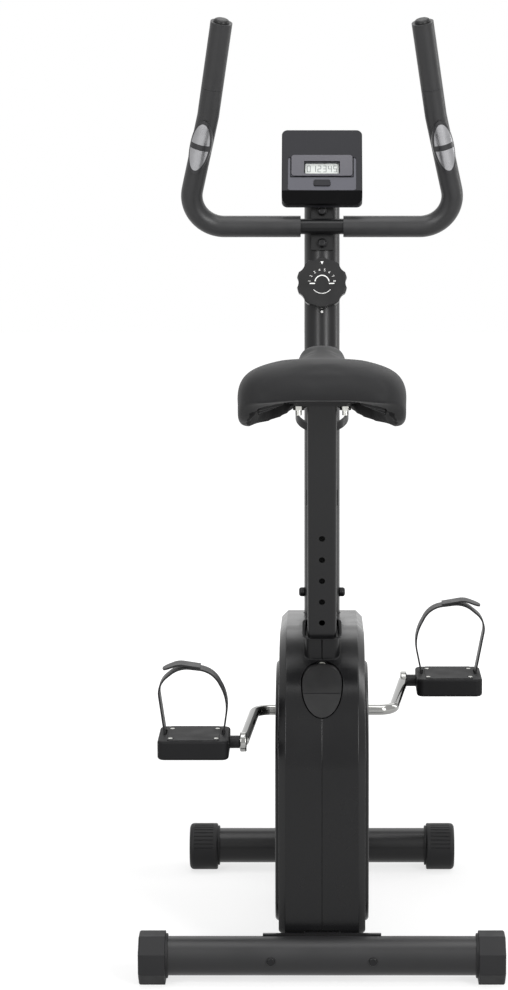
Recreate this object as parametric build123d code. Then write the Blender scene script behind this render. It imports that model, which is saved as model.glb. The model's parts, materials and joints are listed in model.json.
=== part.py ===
from build123d import *
import os
from math import cos, radians, sin, tan

# Upright exercise bike in millimetres: X to the rider's right, Y towards the handlebar, Z up.
# The origin is on the floor, half way between the two stabilisers.

# Stabilisers and their caps
WHEELBASE = 530.0
STAB_Z = 35.0
STAB_R = 25.4
STAB_WALL = 1.5
REAR_CAP_R = 32.5
FRONT_CAP_R = 34.0
FRONT_CAP_Z = 33.5
REAR_HALF = 237.5
REAR_CAP_LEN = 34.5
FRONT_HALF = 195.5
FRONT_CAP_LEN = 41.0
FRONT_SOCKET_LEN = 11.0
LIP_R = 29.0
LIP_LEN = 3.0
PLATE_T = 4.0
REAR_PLATE_HALF = 77.0
FRONT_PLATE_HALF = 68.0
PLATE_REACH = 27.0
PLATE_START = 6.0
DOME_R = 5.5
DOME_T = 3.5
DOME_ROUND = 1.6
REAR_BOLT_X = 66.0
FRONT_BOLT_X = 56.0
BOLT_R = 4.0
ROLLER_R = 19.0
ROLLER_W = 16.0
ROLLER_X = 180.0
ROLLER_DY = 14.0
ROLLER_Z = 20.0
ROLLER_PIN_R = 3.0

# Running clearance on every turning fit
RUN = 0.05

# Leaning seat tube, measured along its axis from the lock pin
SEAT_LEAN = 13.0
SEAT_PIN_Y = 153.0
SEAT_PIN_Z = 397.0
SEAT_POST = 38.0
SEAT_POST_WALL = 2.0
SEAT_POST_CORNER = 5.0
SEAT_POST_LOW = -125.0
SEAT_SLEEVE = 43.0
SEAT_SLEEVE_BORE = 40.0
SEAT_SLEEVE_TOP = 35.0
SEAT_SLEEVE_LOW = -354.0
HOLE_PITCH = 30.0
HOLE_R = 4.0
HOLE_FIRST = -1
HOLE_LAST = 6
BUSH_LOW = -70.0
BUSH_FLANGE = 4.0
BUSH_GAP = 0.2

# Leaning front post, measured along its axis from the shell top
POST_LEAN = 10.0
POST_Y = 385.0
POST_Z = 430.0
POST_R = 25.0
POST_WALL = 1.5
POST_LOW = -32.0
POST_TOP = 572.0
STUB_R = 23.3
STUB_WALL = 3.0
SIDE_BOLT_S = 14.0
BUTTON_HEAD_R = 6.5
BUTTON_HEAD_T = 7.5
BUTTON_ROUND = 3.5
BUTTON_BOLT_LEN = 8.0

# Drive
AXLE_Y = 270.0
AXLE_Z = 300.0
CRANK_LEN = 168.0
CRANK_TILT = 1.7
CRANK_BAR_R = 7.2
CRANK_BEND_R = 22.0
CRANK_BEND_LEFT = -92.0
CRANK_BEND_RIGHT = 98.0
LEFT_EYE_X = -104.0
RIGHT_EYE_X = 117.0
EYE_R = 13.0
EYE_W = 9.0
JOURNAL_R = 12.0
BB_R = 26.0
BB_BORE = 21.0
BB_HALF = 34.0
BB_BEARING_W = 10.0
PULLEY_R = 104.7
SMALL_PULLEY_R = 16.7
PULLEY_X0 = 38.0
PULLEY_X1 = 50.0
BELT_GAP = 0.3
BELT_T = 3.0
BELT_EDGE = 1.0
WHEEL_Y = 390.0
WHEEL_Z = 185.0
WHEEL_R = 100.0
SHAFT_R = 8.0
SHAFT_BEARING_R = 16.0
FORK_X0 = 26.0
FORK_X1 = 32.0
MAGNET_PIVOT_Y = 372.0
MAGNET_PIVOT_Z = 304.0
MAGNET_PIN_R = 4.0
MAGNET_BAND_R = 104.0
MAGNET_BAND_T = 4.0
CABLE_R = 2.2

# Pedals, measured from the spindle axis
PEDAL_W = 93.5
PEDAL_LEN = 92.0
PEDAL_UP = 11.0
PEDAL_DOWN = 14.5
PEDAL_GAP = 13.5
SPINDLE_R = 7.0
SPINDLE_LEN = 78.0
COLLAR_R = 8.5
STRAP_W = 28.0
STRAP_T = 2.4
STRAP_SHIFT = 8.0
STRAP_SLOT_IN = 8.5
STRAP_BENDS = [60, 34, 34, 28]
LEFT_STRAP = [(8.5, 8.3), (1.5, 58), (22, 96), (66, 101), (95, 78), (85, 8.3)]
LEFT_STRAP_TAIL = [(38, 100.2), (67, 104.8), (88, 97)]
RIGHT_STRAP = [(8.5, 8.3), (-3, 64), (19.5, 107), (68, 113), (100, 87), (85, 8.3)]
RIGHT_STRAP_TAIL = [(37, 111.5), (69, 117), (92, 108.5)]
STRAP_TAIL_BEND = 26
STRAP_TIP_R = 11.0
STRAP_SLOT_DEEP = 3.0
TREAD_T = 0.8
TREAD_MARGIN = (26.0, 9.0)
PEDAL_SCREW = (30.0, 28.0)

# Drive shell, as a side view of half-width SHELL_HALF
SHELL_HALF = 57.0
SHELL_WALL = 2.5
SHELL_BEVEL = 9.0
SHELL_CORNERS = [(35.5, 44), (62, 440), (446, 410), (522, 190), (446, 44)]
SHELL_RADII = [14, 170, 55, 120, 60]
COVER_CORNERS = [(52, 58), (76, 412), (440, 332), (505, 190), (436, 58)]
COVER_RADII = [30, 130, 70, 60, 50]
COVER_T = 4.5
COVER_BEVEL = 3.0
COVER_BOSS_R = 7.0
COVER_SCREWS = [(84, 100), (250, 84), (104, 330), (300, 326), (425, 270), (455, 170)]
SCREW_HEAD_R = 4.6
SCREW_HEAD_T = 2.6
SCREW_R = 2.5
SCREW_LEN = 4.0
BASE_W = 44.0
BASE_LOW = 18.0
BASE_HIGH = 56.0
BASE_WALL = 2.5
AXLE_HOLE_R = 14.0
NECK = 47.5
NECK_CORNER = 12.0
BOSS = 53.0
BOSS_CORNER = 14.0
BOSS_RISE = 45.0
BOSS_DEEP = 6.0
BOSS_SLANT = 9.0

# Seat lock, measured back from the seat tube axis; its egg-shaped knob lies in an egg-shaped hole
LOCK_SLEEVE_R = 5.5
LOCK_SLEEVE_END = 24.0
LOCK_NUT_R = 7.5
LOCK_NUT_END = 23.5
LOCK_PIN_R = 4.2
LOCK_PIN_END = 38.0
LOCK_TIP_R = 3.7
LOCK_TIP_LEN = 9.0
EGG_HALF = 27.5
EGG_UP = 15.0
EGG_DOWN = 35.0
EGG_MID = -7.0
EGG_GAP = 1.5
EGG_FAR = 120.0
RECESS_WALL = 2.5
RECESS_DEEP = 14.0
KNOB_PROFILE = [(31.5, -60), (31.5, 8.2), (76.2, -15.3), (102.3, -46), (102.3, -60)]

# Saddle: stations along Y, then half-width, height of the widest place, crown, wing bottom,
# and the flat middle's half-width and height
SADDLE_STATIONS = [
    (-27, 71, 778, 793, 766, 30, 763),
    (-17, 94, 768, 803, 756, 36, 760),
    (2, 106, 760, 808, 745, 40, 757.5),
    (32, 110, 757, 809.5, 727, 44, 756),
    (70, 105, 757, 806, 726, 44, 756),
    (105, 83.5, 759, 803, 728, 44, 756),
    (140, 56, 764, 803, 733, 30, 756),
    (190, 37, 772, 808, 745, 18, 757),
    (224, 33, 777, 810, 760, 12, 762),
    (238, 26, 783, 801, 773, 6, 772),
]
SADDLE_FULL = 0.78
SADDLE_RIM = 0.88
CAVITY_STATIONS = (2, 7)
CAVITY_DEEP = 22.0
CAVITY_DROP = 18.0
PAN_T = 4.0
PAN_IN = 6.0
PAN_GAP = 3.0
PAN_REACH = 0.74
PAN_SIDE_GAP = 1.5
PAN_RIB_UP = 3.0
PAN_RIB_T = 2.4
PAN_RIB_PITCH = 11.0
SADDLE_PLATE_Z = 750.0
SADDLE_PLATE_T = 4.0
SADDLE_PLATE = (84.0, 92.0)
STUD_X = 30.0
STUD_R = 4.0

# Handlebar, in a plane that leans towards the rider
BAR_LEAN = 18.0
BAR_R = 11.0
BAR_WALL = 1.5
BAR_Z = 956.0
BAR_CORNER_X = 193.0
BAR_KNEE = 163.0
BAR_KNEE_X = 157.0
BAR_TIP_X = 136.5
BAR_ARM = 296.0
BAR_BEND = 45.0
GRIP_R = 15.1
GRIP_START = 30.0
GRIP_SEAM = 203.0
SENSOR_MID = 122.0
SENSOR_HALF = 39.0
SENSOR_T = 2.4
SENSOR_TURN = 8.0
SENSOR_HALF_W = 15.0
SENSOR_PLATE_HALF_W = 13.0
SENSOR_PLATE_T = 0.8
BRACKET_W = 30.0
BRACKET_H = 64.0
BRACKET_BACK = 5.0
BRACKET_BOLT = 22.5

# Resistance knob on the front post
DIAL_S = 447.0
DIAL_BASE_R = 29.0
DIAL_BASE_T = 8.0
DIAL_R = 35.5
DIAL_T = 21.0
DIAL_SHAFT_R = 6.0
DIAL_SCALLOPS = 10
SCALLOP_R = 14.0
SCALLOP_DEPTH = 2.6

# Console, with its face tilted back
CONSOLE_TILT = 30.0
CONSOLE_Y = 442.0
CONSOLE_Z = 1040.0
CONSOLE_W = 113.0
CONSOLE_UP = 58.0
CONSOLE_DOWN = 52.5
CONSOLE_CORNER = 8.0
CONSOLE_FRONT_T = 18.0
CONSOLE_BACK_T = 12.0
CONSOLE_WALL = 2.2
CONSOLE_CHIN = 14.5
CONSOLE_CHIN_T = 13.0
CONSOLE_BACK_BEVEL = 6.0
CONSOLE_SCREW_X = 40.0
CONSOLE_SCREW_Y = (-38.0, 42.0)
FACE_X = 48.0
FACE_LOW = -37.5
FACE_HIGH = 14.5
FACE_T = 2.0
LENS_X = 43.0
LENS_LOW = -15.5
LENS_HIGH = 17.5
LENS_T = 2.5
LCD_X = 24.0
LCD_LOW = -12.0
LCD_HIGH = 5.0
BUTTON_W = 23.0
BUTTON_H = 9.5
BUTTON_Y = -26.0
BUTTON_GAP = 0.3
BUTTON_PROUD = 1.8

# Bottle cage on the rider's side of the front post
CAGE_S = 262.0
CAGE_R = 37.0
CAGE_T = 3.0
CAGE_BAND = 9.0
CAGE_HOOP_SET = 1.3
CAGE_TILT = 32.0
CAGE_SPINE_W = 34.0
CAGE_SPINE_LOW = -128.0
CAGE_SPINE_HIGH = 40.0
CAGE_SPINE_T = 4.0
CAGE_SHELF_W = 44.0
CAGE_SHELF_T = 4.0
CAGE_LIP = 22.0
CAGE_SCREWS = (-14.0, -86.0)

MID = WHEELBASE / 2
REAR_Y = -MID
FRONT_Y = MID
BOTTOM = (Align.CENTER, Align.CENTER, Align.MIN)
parts = {}


def along(y):
    """Row Y of a point measured forward of the rear stabiliser."""
    return y - MID


def rod(start, end, radius):
    """Round bar between two points."""
    run = Vector(*end) - Vector(*start)
    return Plane(origin=start, z_dir=run) * Cylinder(radius, run.length, align=BOTTOM)


def x_rod(y, z, radius, x0, x1):
    """Round bar along X."""
    return rod((x0, y, z), (x1, y, z), radius)


def x_pipe(y, z, outer, inner, x0, x1):
    """Round tube along X."""
    return x_rod(y, z, outer, x0, x1) - x_rod(y, z, inner, x0, x1)


def side_face(points, radii):
    """Closed outline drawn in the side view, Y then Z."""
    return Plane.YZ * make_face(FilletPolyline(*points, radius=radii, close=True))


def slab(face, x0, x1):
    """Side-view outline given a thickness from x0 to x1."""
    return Pos(x0, 0, 0) * extrude(face, x1 - x0, dir=(1, 0, 0))


def both_sides(shape):
    """A right-hand piece and its mirror image on the left."""
    return mirror(shape, about=Plane.YZ), shape


def block(x0, x1, y0, y1, z0, z1):
    """Box between two corners, with Y measured forward of the rear stabiliser."""
    size = (x1 - x0, y1 - y0, z1 - z0)
    return Pos((x0 + x1) / 2, along((y0 + y1) / 2), (z0 + z1) / 2) * Box(*size)


def group(shapes):
    """Several separate solids kept in one node."""
    return Compound(children=[solid for shape in shapes for solid in shape.solids()])


lean = radians(SEAT_LEAN)
seat = Plane(origin=(0, along(SEAT_PIN_Y), SEAT_PIN_Z), x_dir=(1, 0, 0), z_dir=(0, -sin(lean), cos(lean)))
tip = radians(POST_LEAN)
post = Plane(origin=(0, along(POST_Y), POST_Z), x_dir=(1, 0, 0), z_dir=(0, sin(tip), cos(tip)))


LOCK_CLEAR = SEAT_POST / 2 + 1.0
bar_back = POST_R + BRACKET_BACK + BAR_R - 2
bar_s = (BAR_Z - POST_Z - bar_back * sin(tip)) / cos(tip)


def seat_point(x, y, z):
    """Point given across, forward of and along the seat tube axis."""
    return tuple(seat.from_local_coords(Vector(x, y, z)))


def post_point(x, y, z):
    """Point given across, forward of and along the front post axis."""
    return tuple(post.from_local_coords(Vector(x, y, z)))


def square_bar(side, corner, low, high):
    """Rounded square bar on the seat tube axis."""
    return seat * Pos(0, 0, low) * extrude(RectangleRounded(side, side, corner), high - low)


# Stabilisers


def stabiliser_tube(y, half, bolt_x):
    """Cross tube with two bolt holes running fore and aft."""
    tube = x_pipe(y, STAB_Z, STAB_R, STAB_R - STAB_WALL, -half, half)
    for x in (-bolt_x, bolt_x):
        tube -= rod((x, y - 2 * STAB_R, STAB_Z), (x, y + 2 * STAB_R, STAB_Z), BOLT_R + 0.2)
    return tube


def saddle_plate(y, inward, half, bolt_x):
    """Curved plate that hugs the frame's side of a stabiliser."""
    ring = x_pipe(y, STAB_Z, STAB_R + PLATE_T, STAB_R, -half, half)
    keep = Pos(0, y + inward * (PLATE_START + STAB_R), STAB_Z) * Box(2 * half, 2 * STAB_R, 2 * PLATE_REACH)
    plate = ring & keep
    for x in (-bolt_x, bolt_x):
        plate -= rod((x, y, STAB_Z), (x, y + inward * 2 * STAB_R, STAB_Z), BOLT_R + 0.2)
    return plate


def stabiliser_bolts(y, inward, bolt_x):
    """Two domed bolts from the outer side, each with a nut behind the plate."""
    solids = []
    for x in (-bolt_x, bolt_x):
        outer = y - inward * STAB_R
        nut_face = y + inward * (STAB_R + PLATE_T)
        head = rod((x, outer, STAB_Z), (x, outer - inward * DOME_T, STAB_Z), DOME_R)
        rim = head.faces().sort_by(Axis.Y)[0 if inward > 0 else -1].edges()
        shank = rod((x, outer, STAB_Z), (x, nut_face + inward * 11, STAB_Z), BOLT_R)
        nut_plane = Plane(origin=(x, nut_face, STAB_Z), z_dir=(0, inward, 0))
        nut = nut_plane * extrude(RegularPolygon(7.5, 6) - Circle(BOLT_R), 6.5)
        solids += [fillet(rim, DOME_ROUND) + shank, nut]
    return group(solids)


def rear_cap():
    """Octagonal push-on foot with a flat bottom."""
    x0 = REAR_HALF - REAR_CAP_LEN
    octagon = RegularPolygon(REAR_CAP_R / cos(radians(22.5)), 8, rotation=22.5)
    cap = extrude(Plane.YZ.offset(x0) * octagon, REAR_CAP_LEN)
    cap = fillet(cap.faces().sort_by(Axis.X)[-1].edges(), 3.0)
    cap = Pos(0, REAR_Y, REAR_CAP_R) * cap
    cap += x_rod(REAR_Y, STAB_Z, LIP_R, x0 - LIP_LEN, x0)
    return cap - x_rod(REAR_Y, STAB_Z, STAB_R + RUN, x0 - LIP_LEN, REAR_HALF - 3.5)


def roller_axis():
    """Centre of the transport roller in the front caps."""
    return FRONT_Y + ROLLER_DY, ROLLER_Z


def front_cap():
    """Round cap with grip grooves on its upper half and a slot for the transport roller."""
    x0 = FRONT_HALF - FRONT_CAP_LEN
    cap = x_rod(FRONT_Y, FRONT_CAP_Z, FRONT_CAP_R, x0, FRONT_HALF)
    ends = cap.faces().sort_by(Axis.X)
    cap = fillet(ends[-1].edges(), 6.0)
    cap = fillet(cap.faces().sort_by(Axis.X)[0].edges(), 2.0)
    for angle in range(10, 171, 10):
        y = FRONT_Y + FRONT_CAP_R * cos(radians(angle))
        z = FRONT_CAP_Z + FRONT_CAP_R * sin(radians(angle))
        cap -= x_rod(y, z, 1.0, x0 + 6, FRONT_HALF - 7)
    cap += x_rod(FRONT_Y, STAB_Z, LIP_R, x0 - LIP_LEN, x0)
    cap -= x_rod(FRONT_Y, STAB_Z, STAB_R + RUN, x0 - LIP_LEN, x0 + FRONT_SOCKET_LEN)
    y, z = roller_axis()
    cap -= x_rod(y, z, ROLLER_R + 2, ROLLER_X - ROLLER_W / 2 - 1, ROLLER_X + ROLLER_W / 2 + 1)
    cap -= x_rod(y, z, ROLLER_PIN_R, ROLLER_X - 14, ROLLER_X + 14)
    return cap - Pos(FRONT_HALF, FRONT_Y, -50) * Box(200, 200, 100)


def transport_roller():
    """Small wheel that touches the floor only when the bike is tipped forward."""
    y, z = roller_axis()
    half = ROLLER_W / 2
    wheel = fillet(x_rod(y, z, ROLLER_R, ROLLER_X - half, ROLLER_X + half).edges(), 2.0)
    return wheel - x_rod(y, z, ROLLER_PIN_R + RUN, ROLLER_X - ROLLER_W, ROLLER_X + ROLLER_W)


parts["rear_stabiliser"] = stabiliser_tube(REAR_Y, REAR_HALF - 4, REAR_BOLT_X)
parts["front_stabiliser"] = stabiliser_tube(
    FRONT_Y, FRONT_HALF - FRONT_CAP_LEN + FRONT_SOCKET_LEN - 0.5, FRONT_BOLT_X)
parts["stabiliser_bolts"] = group(
    [stabiliser_bolts(REAR_Y, 1, REAR_BOLT_X), stabiliser_bolts(FRONT_Y, -1, FRONT_BOLT_X)])
parts["rear_cap_left"], parts["rear_cap_right"] = both_sides(rear_cap())
parts["front_cap_left"], parts["front_cap_right"] = both_sides(front_cap())
parts["roller_left"], parts["roller_right"] = both_sides(transport_roller())
roller_pin = x_rod(*roller_axis(), ROLLER_PIN_R, ROLLER_X - 14, ROLLER_X + 14)
parts["roller_pins"] = group(both_sides(roller_pin))

# Main frame


def base_tube():
    """Box tube between the two saddle plates."""
    half = BASE_W / 2
    tube = block(-half, half, 20, WHEELBASE - 20, BASE_LOW, BASE_HIGH)
    tube -= block(-half + BASE_WALL, half - BASE_WALL, 0, WHEELBASE, BASE_LOW + BASE_WALL,
                  BASE_HIGH - BASE_WALL)
    for y in (REAR_Y, FRONT_Y):
        tube -= x_rod(y, STAB_Z, STAB_R + PLATE_T, -BASE_W, BASE_W)
    return tube


def fork_plates():
    """Two upright plates that carry the flywheel and the magnet bracket."""
    plates = block(FORK_X0, FORK_X1, 362, 410, BASE_HIGH, 352)
    plates += block(-FORK_X1, -FORK_X0, 362, 410, BASE_HIGH, 352)
    plates += block(-FORK_X1, FORK_X1, 362, 410, BASE_HIGH, BASE_HIGH + 10)
    plates += block(-FORK_X1, FORK_X1, 358, 412, 328, 350)
    plates -= x_rod(along(WHEEL_Y), WHEEL_Z, SHAFT_BEARING_R, -FORK_X1, FORK_X1)
    return plates - x_rod(along(MAGNET_PIVOT_Y), MAGNET_PIVOT_Z, MAGNET_PIN_R, -FORK_X1, FORK_X1)


def main_frame():
    """Welded frame inside the shell."""
    frame = base_tube() + square_bar(SEAT_SLEEVE, 6, SEAT_SLEEVE_LOW, SEAT_SLEEVE_TOP)
    frame += saddle_plate(REAR_Y, 1, REAR_PLATE_HALF, REAR_BOLT_X)
    frame += saddle_plate(FRONT_Y, -1, FRONT_PLATE_HALF, FRONT_BOLT_X)
    frame += block(-20, 20, 172, 366, 352, 390)
    frame += block(-20, 20, 190, AXLE_Y, 280, 318)
    frame += x_rod(along(AXLE_Y), AXLE_Z, BB_R, -BB_HALF, BB_HALF)
    frame += fork_plates()
    frame += rod(post_point(0, 0, -92), post_point(0, 0, 45), STUB_R)
    frame += rod(seat_point(0, -SEAT_SLEEVE / 2 + 1, 0), seat_point(0, -LOCK_NUT_END, 0), LOCK_NUT_R)
    frame -= x_rod(along(AXLE_Y), AXLE_Z, BB_BORE, -BB_HALF, BB_HALF)
    frame -= square_bar(SEAT_SLEEVE_BORE, SEAT_POST_CORNER, SEAT_SLEEVE_LOW + 20, SEAT_SLEEVE_TOP)
    frame -= rod(post_point(0, 0, -70), post_point(0, 0, 45), STUB_R - STUB_WALL)
    frame -= rod(post_point(0, 0, -130), post_point(0, 0, 0), 5)
    frame -= rod(seat_point(0, 0, 0), seat_point(0, -LOCK_SLEEVE_END, 0), LOCK_SLEEVE_R + RUN)
    side_bolts = post_point(-STUB_R, 0, SIDE_BOLT_S), post_point(STUB_R, 0, SIDE_BOLT_S)
    return frame - rod(*side_bolts, BOLT_R)


def seat_bush():
    """Plastic liner in the top of the seat tube, with a flange over its end."""
    bush = square_bar(SEAT_SLEEVE_BORE, SEAT_POST_CORNER, BUSH_LOW, SEAT_SLEEVE_TOP)
    bush += square_bar(SEAT_SLEEVE, 6, SEAT_SLEEVE_TOP, SEAT_SLEEVE_TOP + BUSH_FLANGE)
    bore = SEAT_POST + 2 * BUSH_GAP
    bush -= square_bar(bore, SEAT_POST_CORNER, BUSH_LOW, SEAT_SLEEVE_TOP + BUSH_FLANGE)
    return bush - rod(seat_point(0, 0, 0), seat_point(0, -SEAT_SLEEVE, 0), LOCK_SLEEVE_R + RUN)


parts["main_frame"] = main_frame()
parts["seat_bush"] = seat_bush()

# Drive shell


def outline(corners, radii, inset):
    """Side view of a shell or cover, moved in by a wall or a margin."""
    face = side_face([(along(y), z) for y, z in corners], radii)
    return offset(face, -inset) if inset else face


def bevelled_slab(face, half, bevel):
    """Symmetric slab with its two outer rims bevelled."""
    body = slab(face, -half, half)
    for end in (0, -1):
        body = chamfer(body.faces().sort_by(Axis.X)[end].edges(), bevel)
    return body


def lock_plane(back):
    """Plane across the lock's axis, at a distance behind the seat tube axis."""
    return Plane(origin=seat_point(0, -back, 0), x_dir=(1, 0, 0), z_dir=-seat.y_dir)


def lock_bar(radius, near, far):
    """Round length on the lock axis between two distances behind the seat tube axis."""
    return lock_plane(near) * Cylinder(radius, far - near, align=BOTTOM)


def egg(grow):
    """Egg-shaped prism along the lock axis, through the rear of the shell."""
    half, up, down = EGG_HALF + grow, EGG_UP + grow, EGG_DOWN + grow
    rim = [EllipticalCenterArc((0, EGG_MID), half, up, 0, arc_size=180),
           EllipticalCenterArc((0, EGG_MID), half, down, 180, arc_size=180)]
    return extrude(lock_plane(LOCK_CLEAR) * make_face(rim), EGG_FAR - LOCK_CLEAR)


def collar():
    """Neck round the seat tube with a thicker rim, cut off at a slant."""
    neck = square_bar(NECK, NECK_CORNER, -40, 90) + square_bar(BOSS, BOSS_CORNER, BOSS_RISE - BOSS_DEEP, 90)
    return neck - seat * Pos(0, 0, BOSS_RISE + 60) * Rot(BOSS_SLANT, 0, 0) * Box(120, 160, 120)


def drive_shell():
    """Both halves of the hollow shell, with the seat collar and the lock's hole."""
    solid = bevelled_slab(outline(SHELL_CORNERS, SHELL_RADII, 0), SHELL_HALF, SHELL_BEVEL)
    inside = outline(SHELL_CORNERS, SHELL_RADII, SHELL_WALL)
    hollow = bevelled_slab(inside, SHELL_HALF - SHELL_WALL, SHELL_BEVEL)
    core = slab(outline(SHELL_CORNERS, SHELL_RADII, RECESS_DEEP), -SHELL_HALF, SHELL_HALF)
    shell = solid - hollow + (collar() - hollow)
    shell += (egg(RECESS_WALL) - egg(0)) & (solid - core)
    shell -= egg(0)
    shell -= square_bar(SEAT_SLEEVE + 1, 6.5, -80, 120)
    shell -= rod(post_point(0, 0, -60), post_point(0, 0, 80), POST_R + 1)
    shell -= x_rod(along(AXLE_Y), AXLE_Z, AXLE_HOLE_R, -SHELL_HALF, SHELL_HALF)
    notch = BASE_W / 2 + 2
    return shell - block(-notch, notch, 0, WHEELBASE, 0, BASE_HIGH + 0.5)


def side_cover():
    """Raised hollow cover on the outside of one shell half, with screw bosses."""
    face = SHELL_HALF + COVER_T
    outer = slab(outline(COVER_CORNERS, COVER_RADII, 0), SHELL_HALF, face)
    outer = chamfer(outer.faces().sort_by(Axis.X)[-1].edges(), COVER_BEVEL)
    inner = slab(outline(COVER_CORNERS, COVER_RADII, 4), SHELL_HALF, face - SHELL_WALL)
    for y, z in COVER_SCREWS:
        inner -= x_rod(along(y), z, COVER_BOSS_R, SHELL_HALF, face)
    return outer - inner - x_rod(along(AXLE_Y), AXLE_Z, AXLE_HOLE_R, 0, face)


def pan_screw(place, outward):
    """Pan-head screw standing on a surface, with the length that it has in that surface."""
    spot = Plane(origin=place, z_dir=outward)
    head = fillet(Cylinder(SCREW_HEAD_R, SCREW_HEAD_T, align=BOTTOM).faces().sort_by(Axis.Z)[-1].edges(), 1.2)
    return spot * (head + Pos(0, 0, -SCREW_LEN) * Cylinder(SCREW_R, SCREW_LEN, align=BOTTOM))


def cover_screws():
    """Screws sunk in the margin of the left side cover."""
    x = -SHELL_HALF - COVER_T + SCREW_HEAD_T
    return [pan_screw((x, along(y), z), (-1, 0, 0)) for y, z in COVER_SCREWS]


shell = drive_shell()
span = block(0, 400, -400, 900, -50, 900)
parts["shell_right"] = shell & span
parts["shell_left"] = (shell & mirror(span, about=Plane.YZ)) - cover_screws()
left_cover, parts["side_cover_right"] = both_sides(side_cover())
parts["side_cover_left"] = left_cover - cover_screws()

# Seat lock


def lock_knob():
    """Egg-shaped pull knob: a slanted upper face, a steeper lower face and the pin's seat."""
    side = Plane(origin=seat_point(0, 0, 0), x_dir=-seat.y_dir, z_dir=(-1, 0, 0))
    profile = extrude(side * make_face(Polyline(*KNOB_PROFILE, close=True)), EGG_HALF, both=True)
    return (profile & egg(-EGG_GAP)) - lock_bar(LOCK_PIN_R, LOCK_CLEAR, LOCK_PIN_END)


sleeve = lock_bar(LOCK_SLEEVE_R, LOCK_CLEAR, LOCK_SLEEVE_END)
parts["lock_sleeve"] = sleeve - lock_bar(LOCK_PIN_R + RUN, LOCK_CLEAR, LOCK_SLEEVE_END)
parts["lock_pin"] = lock_bar(LOCK_TIP_R, LOCK_CLEAR, LOCK_CLEAR + LOCK_TIP_LEN) + lock_bar(
    LOCK_PIN_R, LOCK_CLEAR + LOCK_TIP_LEN, LOCK_PIN_END)
parts["lock_knob"] = lock_knob()

# Seat


def seat_post_top():
    """Length of the seat post from the lock pin up to the saddle plate."""
    return (SADDLE_PLATE_Z - SEAT_PIN_Z) / cos(lean)


def seat_post():
    """Square post with its row of holes and the welded saddle plate."""
    bore = SEAT_POST - 2 * SEAT_POST_WALL
    tube = square_bar(SEAT_POST, SEAT_POST_CORNER, SEAT_POST_LOW, seat_post_top() + 12)
    tube -= square_bar(bore, SEAT_POST_CORNER - SEAT_POST_WALL, SEAT_POST_LOW, seat_post_top() + 12)
    for step in range(HOLE_FIRST, HOLE_LAST + 1):
        s = step * HOLE_PITCH
        tube -= rod(seat_point(0, 0, s), seat_point(0, -SEAT_POST, s), HOLE_R)
    tube -= Pos(0, 0, SADDLE_PLATE_Z + 50) * Box(400, 900, 100)
    y = saddle_mid()
    plate = Pos(0, y, SADDLE_PLATE_Z) * extrude(RectangleRounded(*SADDLE_PLATE, 12), SADDLE_PLATE_T)
    for x, dy in saddle_studs():
        plate -= Pos(x, y + dy, SADDLE_PLATE_Z) * Cylinder(STUD_R + 0.3, 20)
    return tube + plate


def saddle_mid():
    """Row Y of the post's centre under the saddle plate."""
    return along(SEAT_PIN_Y - (SADDLE_PLATE_Z - SEAT_PIN_Z) * tan(lean))


def saddle_studs():
    """Places of the three studs, from the post's centre."""
    return [(-STUD_X, -14), (STUD_X, -14), (0, 34)]


def saddle_plane(y):
    """Upright plane across the saddle, seen from the rear."""
    return Plane(origin=(0, along(y), 0), x_dir=(1, 0, 0), z_dir=(0, -1, 0))


def saddle_section(station):
    """Cross-section of the pad: a flat-topped crown, full sides and an arched underside."""
    y, half, middle, crown, wing, flat, arch = station
    rim = half * SADDLE_RIM
    full = middle + (crown - middle) * SADDLE_FULL
    low = middle - (middle - wing) * SADDLE_FULL
    curves = [
        Bezier((half, middle), (half, full), (half * SADDLE_FULL, crown), (0, crown)),
        Bezier((0, crown), (-half * SADDLE_FULL, crown), (-half, full), (-half, middle)),
        Bezier((-half, middle), (-half, low), (-half, wing), (-rim, wing)),
        Polyline((-rim, wing), (-flat, arch), (flat, arch), (rim, wing)),
        Bezier((rim, wing), (half, wing), (half, low), (half, middle)),
    ]
    return saddle_plane(y) * make_face(curves)


def wing_line(station, lift, drop, margin):
    """Line across the underside, lifted into the wings and then dropped as a whole."""
    _, half, _, _, wing, flat, arch = station
    edge = flat + (half * SADDLE_RIM - flat) * PAN_REACH
    edge_z = arch + (wing - arch) * PAN_REACH + lift
    roof = arch + PAN_IN
    points = [(-edge + margin, edge_z), (-flat, roof), (flat, roof), (edge - margin, edge_z)]
    return [(x, z - drop) for x, z in points]


def wing_strip(upper, lower):
    """Solid between two lines across the underside, each given as lift, drop and margin."""
    faces = []
    for station in SADDLE_STATIONS[slice(*CAVITY_STATIONS)]:
        outline_points = wing_line(station, *upper) + wing_line(station, *lower)[::-1]
        faces.append(saddle_plane(station[0]) * make_face(Polyline(*outline_points, close=True)))
    return loft(faces, ruled=True)


def saddle_pad():
    """Padded saddle with a hollow under its wings for the pan."""
    hollow = wing_strip((CAVITY_DEEP, 0, 0), (0, CAVITY_DROP, 0))
    return loft([saddle_section(station) for station in SADDLE_STATIONS]) - hollow


def saddle_pan():
    """Moulded base under the pad, with ribs across its wings."""
    under = PAN_GAP + PAN_T
    pan = wing_strip((CAVITY_DEEP, PAN_GAP, PAN_SIDE_GAP), (CAVITY_DEEP, under, PAN_SIDE_GAP))
    rib_low = under + 1
    wings = wing_strip((CAVITY_DEEP, under - 1, PAN_SIDE_GAP), (PAN_RIB_UP + rib_low, rib_low, PAN_SIDE_GAP))
    wings -= block(-STUD_X - 20, STUD_X + 20, -100, WHEELBASE, 0, 1000)
    first, last = SADDLE_STATIONS[CAVITY_STATIONS[0]][0], SADDLE_STATIONS[CAVITY_STATIONS[1] - 1][0]
    y = first + PAN_RIB_PITCH
    while y < last - PAN_RIB_PITCH:
        pan += wings & block(-150, 150, y, y + PAN_RIB_T, 0, 1000)
        y += PAN_RIB_PITCH
    return pan


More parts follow.
